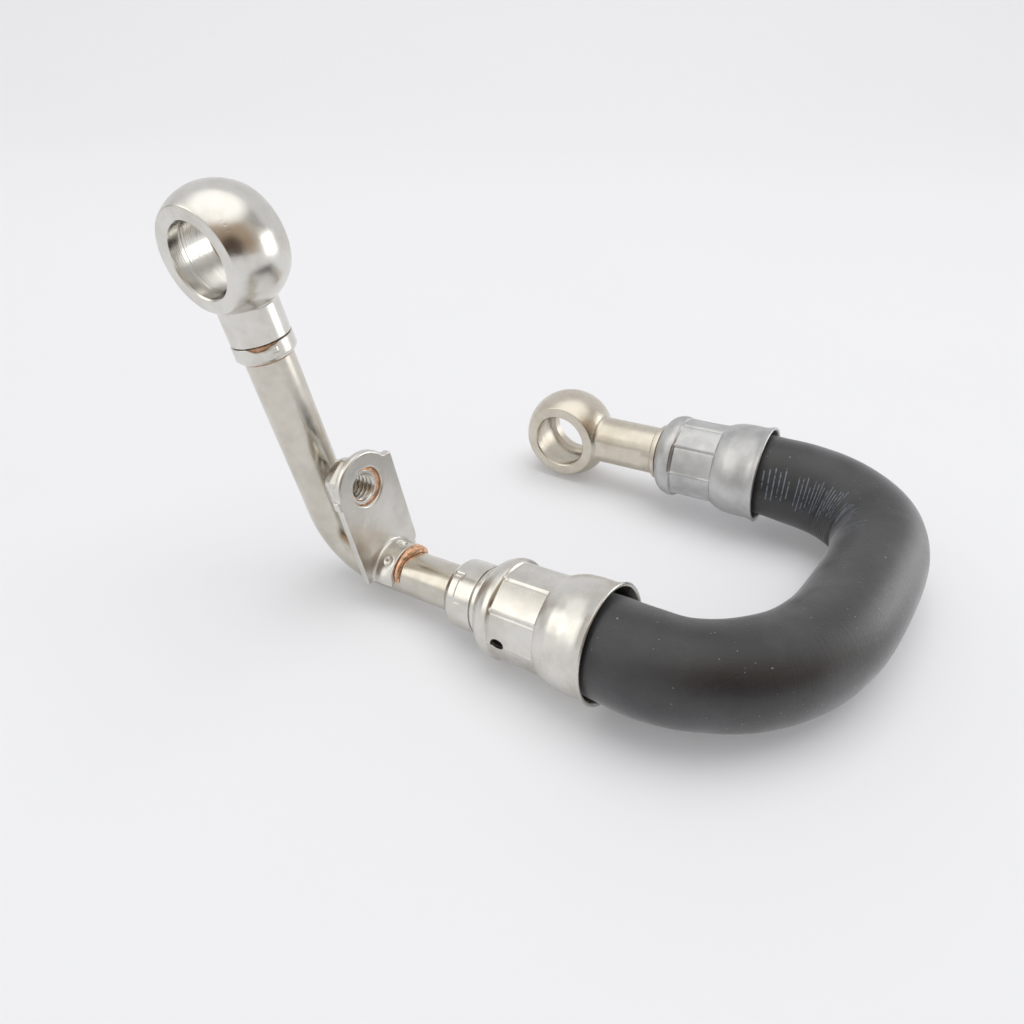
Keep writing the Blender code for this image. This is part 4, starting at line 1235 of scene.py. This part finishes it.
class LINE_OT_tube(bpy.types.Operator):
    """Make the bent steel tube, the locating ring and the braze by the socket"""

    bl_idname = "coolant_line.tube"
    bl_label = "Tube and rings"

    def execute(self, context):
        sizes, colours = context.scene.line_sizes, context.scene.line_colours
        look = plating(colours, "drawn nickel", 0.22, [], 0.6, cast=(0.90, 0.875, 0.83))
        piece("steel_tube_drawn", tube_mesh(sizes), "steel_tube", look)
        ring_look = plating(colours, "ring nickel", 0.22, [(NECK, 0.0, 3800.0, 1.0, None)])
        piece("locating_ring_turned", ring_mesh(), "locating_ring", ring_look)
        copper = copper_finish("dark braze", tuple(0.6 * c for c in colours.copper))
        top = -SOCKET_LENGTH - FIT_GAP * 0.6
        high, low, bore = top + 0.1, top - 0.95, BRAZE_BORE
        corners = [(5.78, high, 0.12), (5.78, low, 0.12), (bore, low, 0.05), (bore, high, 0.05)]
        bead = bead_mesh(NECK, corners, 41, 0.05)
        piece("socket_braze_bead", bead, "socket_braze", copper)
        high, low = RING_FOOT - 0.05, RING_FOOT - 0.42
        outside = [(5.40, high, 0.08), (5.30, RING_FOOT - 0.26, 0.08)]
        corners = [*outside, (bore, low, 0.03), (bore, high, 0.03)]
        bead = bead_mesh(NECK, corners, 47, 0.05)
        piece("ring_braze_bead", bead, "ring_braze", copper)
        return {"FINISHED"}


class LINE_OT_bracket(bpy.types.Operator):
    """Make the bracket with its saddle, the weld nut and their braze"""

    bl_idname = "coolant_line.bracket"
    bl_label = "Bracket and nut"

    def execute(self, context):
        colours = context.scene.line_colours
        joins = [saddle_mesh()]
        half = block_mesh(STRIP, (-20.0, -20.0, -12.0), (20.0, 1.0, 14.0))
        cuts = [rod_mesh(STRIP, 5.3, -12.0, 16.0), half]
        look = plating(colours, "pressed nickel", 0.31, [], 0.5)
        piece("bracket_pressed", plate_mesh(), "bracket", look, joins, cuts)
        look = plating(colours, "nut nickel", 0.24, [], 0.3)
        piece("weld_nut_threaded", nut_mesh(), "weld_nut", look)
        copper = copper_finish("bright braze", tuple(colours.copper))
        ring = [(4.12, -0.85, 0.15), (4.12, -1.5, 0.1), (3.05, -1.5, 0.05), (3.05, -1.0, 0.1)]

        def lopsided(radius, station, angle, out):
            heavy = 0.5 + 0.5 * np.cos(angle + math.radians(20.0))
            top = smooth_step(station, -1.45, -1.0)
            return np.minimum(radius, 4.14), station + top * (0.45 * heavy - 0.22)

        bead = bead_mesh(NUT, ring, 53, 0.04, lopsided)
        piece("nut_braze_bead", bead, "nut_braze", copper)
        end, tip, bore = SADDLE_END + FIT_GAP * 0.3, SADDLE_END + FIT_GAP * 0.3 + 1.05, BRAZE_BORE
        corners = [(6.0, end, 0.25), (5.75, end + 0.75, 0.3), (bore, tip, 0.03), (bore, end, 0.03)]

        def blob(radius, station, angle, out):
            """Thick at the upper far side and thin below: the bead swells about one bearing."""
            thick = bump_at(turn_from(angle, 62.0), 0.0, 0.62)
            thin = smooth_step(-np.cos(turn_from(angle, 62.0)), 0.2, 0.9)
            radius = radius + out * (0.62 * thick - 0.36 * thin)
            radius = bore + (radius - bore) * smooth_step(np.sin(angle) * 6.0, 1.0, 3.4)
            crown = 0.75 * thick - 0.15 * thin + 0.12 * ripple(angle, 0.0, 61)
            return radius, station + smooth_step(station, end, end + 0.9) * crown

        bead = bead_mesh(STRIP, corners, 59, 0.15, blob)
        cuts = [block_mesh(STRIP, (-20.0, -20.0, -12.0), (20.0, 1.2, 14.0))]
        piece("saddle_braze_bead", bead, "saddle_braze", copper, cuts=cuts)
        return {"FINISHED"}


class LINE_OT_ferrules(bpy.types.Operator):
    """Make the hose nipple and the two crimped ferrules"""

    bl_idname = "coolant_line.ferrules"
    bl_label = "Nipple and ferrules"

    def execute(self, context):
        colours = context.scene.line_colours
        look = plating(colours, "collar nickel", 0.20, [(NEAR, 0.0, 3400.0, 1.0, None)], 0.4)
        piece("hose_nipple_turned", nipple_mesh(), "hose_nipple", look)
        look = plating(colours, "pressed sleeve nickel", 0.30, [], 0.8)
        near, cuts = ferrule_mesh(NEAR, -57.5, 11, near_dents), [sight_hole_mesh()]
        piece("near_ferrule_crimped", near, "near_ferrule", look, cuts=cuts)
        tint, shade = tuple(colours.zinc), tuple(colours.zinc_shade)
        zinc = plated("dull zinc", tint, shade, 0.40, [], 1.2, 2.0)
        far = ferrule_mesh(FAR, -50.0, 17, far_dents)
        piece("far_ferrule_crimped", far, "far_ferrule", zinc)
        return {"FINISHED"}


class LINE_OT_hose(bpy.types.Operator):
    """Make the moulded hose"""

    bl_idname = "coolant_line.hose"
    bl_label = "Hose"

    def execute(self, context):
        sizes, colours = context.scene.line_sizes, context.scene.line_colours
        look = rubber_finish("moulded rubber", tuple(colours.rubber), tuple(colours.mark))
        piece("coolant_hose_moulded", hose_mesh(sizes), "coolant_hose", look)
        return {"FINISHED"}


# Stage, lamps and camera


def backdrop_mesh():
    """Floor and wall in one sheet: flat, then a quarter circle, then upright."""
    radius, far, wide = 0.9, 0.7, 4.0
    swing = np.linspace(0.0, np.pi / 2, 25)
    flat = np.stack([np.linspace(-3.0, far, 12), np.zeros(12)], -1)
    bend = np.stack([far + radius * np.sin(swing), radius * (1 - np.cos(swing))], -1)
    wall = np.stack([np.full(4, far + radius), np.linspace(radius, 3.0, 4)], -1)
    line = np.concatenate([flat, bend[1:], wall[1:]])
    across = np.linspace(-wide, wide, 9)
    points = np.stack(np.broadcast_arrays(across[None], line[:, :1], line[:, 1:]), -1)
    mesh = bpy.data.meshes.new("backdrop")
    faces = grid_faces(*points.shape[:2], False, False)[:, ::-1]
    mesh.from_pydata(points.reshape(-1, 3), [], faces.tolist())
    mesh.polygons.foreach_set("use_smooth", np.ones(len(mesh.polygons), bool))
    return mesh


def floor_finish(tint):
    """Pale matte sheet. Where the camera or a reflection meets it, part of its brightness is its
    own, so that shadows stay as light as on a well lit white table."""
    look = Finish("pale floor")
    cloud = look.noise(look.place(), 7.0, 3.0, 0.5)
    colour = look.blend(look.span(cloud, 0.3, 0.7, 0.0, 0.5), tint, tuple(0.98 * c for c in tint))
    look.set(Base_Color=colour, Roughness=0.8)
    look.shader.inputs["Specular IOR Level"].default_value = 0.1
    rays = look.add("LightPath").outputs
    seen = look.math("MAXIMUM", rays["Is Camera Ray"], rays["Is Glossy Ray"])
    seen = look.math("MAXIMUM", seen, rays["Is Transmission Ray"])
    glow = look.add("Emission", {"Color": (0.885, 0.885, 0.895), "Strength": 1.0}).outputs[0]
    away = look.add("VectorMath", {0: look.place()}, operation="LENGTH").outputs[1]
    share = look.times(seen, look.span(away, 0.12, 0.40, *FLOOR_OWN_LIGHT))
    both = look.add("MixShader", {0: share, 1: look.shader.outputs[0], 2: glow}).outputs[0]
    output = next(node for node in look.tree.nodes if node.type == "OUTPUT_MATERIAL")
    connect(look.tree, output.inputs["Surface"], both)
    return look.material


def lamp(name, location, aim, width, height, power):
    """An oblong lamp that points at a place."""
    data = bpy.data.lights.new(name, "AREA")
    data.shape = "RECTANGLE"
    data.size, data.size_y = width, height
    data.energy = power
    obj = add_object(name, data)
    toward = Vector(aim) - Vector(location)
    turn = toward.to_track_quat("-Z", "Y").to_matrix().to_4x4()
    obj.matrix_world = Matrix.Translation(location) @ turn
    return obj


# What gloss meets in the room: direction, cosines where the patch starts and is full, colour.
GLOSS_PATCHES = (
    ((0.50, -0.80, 0.34), 0.52, 0.86, (0.44, 0.335, 0.24)),
    ((0.50, -0.85, 0.14), 0.86, 0.96, (0.085, 0.06, 0.045)),
    ((-0.85, -0.15, 0.50), 0.88, 0.98, (1.85, 1.82, 1.74)),
    ((-0.95, 0.25, 0.10), 0.86, 0.98, (0.48, 0.47, 0.46)),
    ((0.62, 0.30, 0.72), 0.86, 0.97, (0.46, 0.455, 0.44)),
    ((0.0, 0.0, 1.0), 0.70, 0.90, (1.42, 1.41, 1.38)),
)
ROOM_GLOSS = (0.78, 0.78, 0.775)
ROOM_LIGHT = (0.66, 0.66, 0.67)
ROOM_SEEN = (0.86, 0.86, 0.87)


def studio_world():
    """A plain room. The camera sees one level and diffuse light comes from another. Gloss meets
    the table's soft patches: dim ones of the room, a pale one at the left and the ceiling."""
    room = bpy.data.worlds.new("room")
    bpy.context.scene.world = room
    room.use_nodes = True
    tree = room.node_tree
    tree.nodes.clear()
    rays = add_node(tree, "LightPath").outputs
    way = add_node(tree, "TexCoord").outputs["Object"]
    glossy = ROOM_GLOSS
    for direction, start, full, tint in GLOSS_PATCHES:
        inputs = {0: way, 1: tuple(Vector(direction).normalized())}
        nearness = add_node(tree, "VectorMath", inputs, operation="DOT_PRODUCT").outputs[1]
        inputs = {"Value": nearness, "From Min": start, "From Max": full}
        share = add_node(tree, "MapRange", inputs, interpolation_type="SMOOTHSTEP").outputs[0]
        glossy = mixed(tree, share, glossy, tint)
    plain = mixed(tree, rays["Is Camera Ray"], ROOM_LIGHT, ROOM_SEEN)
    final = mixed(tree, rays["Is Glossy Ray"], plain, glossy)
    background = add_node(tree, "Background", {"Color": final, "Strength": 1.0})
    add_node(tree, "OutputWorld", {"Surface": background.outputs[0]})


# Lamps in metres and watts.
SOFTBOX = {
    "location": (0.12, 0.10, 1.25),
    "aim": (0.0, 0.0, 0.0),
    "width": 1.2,
    "height": 1.2,
    "power": 8.2,
}
WHITE_CARD = {
    "location": (0.42, 0.09, 0.11),
    "aim": (0.0, 0.0, 0.05),
    "width": 0.22,
    "height": 0.24,
    "power": 0.36,
}

# The camera's right, up and back directions, its place in metres and its lens in millimetres.
CAMERA_TURN = (
    (0.999756, 0.016266, 0.01495),
    (-0.021352, 0.537597, 0.842931),
    (0.005674, -0.843045, 0.537814),
)
CAMERA_AT = (-0.013566, -0.150638, 0.111443)
CAMERA_LENS = 27.564
SENSOR_WIDTH = 36.0


class LINE_OT_stage(bpy.types.Operator):
    """Make the floor, the backdrop, the lamps, the room and the camera"""

    bl_idname = "coolant_line.stage"
    bl_label = "Stage"

    def execute(self, context):
        colours = context.scene.line_colours
        floor = add_object("floor_and_backdrop", backdrop_mesh())
        floor.data.materials.append(floor_finish(tuple(colours.floor)))
        softbox = lamp("overhead softbox", **SOFTBOX)
        softbox.visible_glossy = False
        card = lamp("white card at the right", **WHITE_CARD)
        card.visible_diffuse = False
        studio_world()
        data = bpy.data.cameras.new("camera")
        data.sensor_width = SENSOR_WIDTH
        data.lens = CAMERA_LENS
        data.clip_start = 0.005
        camera = add_object("camera", data)
        turn = Matrix(CAMERA_TURN).transposed().to_4x4()
        camera.matrix_world = Matrix.Translation(CAMERA_AT) @ turn
        context.scene.camera = camera
        context.scene.view_settings.view_transform = "Standard"
        return {"FINISHED"}


class LINE_PT_panel(bpy.types.Panel):
    bl_idname = "LINE_PT_panel"
    bl_label = "Coolant line"
    bl_space_type = "VIEW_3D"
    bl_region_type = "UI"
    bl_category = "Coolant line"

    def draw(self, context):
        layout = self.layout
        for step in STEPS:
            layout.operator(step.bl_idname)
        for group in (context.scene.line_sizes, context.scene.line_colours):
            box = layout.box()
            for key in group.__annotations__:
                box.prop(group, key)


STEPS = (
    LINE_OT_upright_eye,
    LINE_OT_far_eye,
    LINE_OT_tube,
    LINE_OT_bracket,
    LINE_OT_ferrules,
    LINE_OT_hose,
    LINE_OT_stage,
)
CLASSES = (LineSizes, LineColours, *STEPS, LINE_PT_panel)


def register():
    for item in CLASSES:
        bpy.utils.register_class(item)
    bpy.types.Scene.line_sizes = PointerProperty(type=LineSizes)
    bpy.types.Scene.line_colours = PointerProperty(type=LineColours)


def unregister():
    del bpy.types.Scene.line_colours
    del bpy.types.Scene.line_sizes
    for item in reversed(CLASSES):
        bpy.utils.unregister_class(item)


def main():
    register()
    bpy.ops.coolant_line.upright_eye()
    bpy.ops.coolant_line.far_eye()
    bpy.ops.coolant_line.tube()
    bpy.ops.coolant_line.bracket()
    bpy.ops.coolant_line.ferrules()
    bpy.ops.coolant_line.hose()
    bpy.ops.coolant_line.stage()


if __name__ == "__main__":
    main()
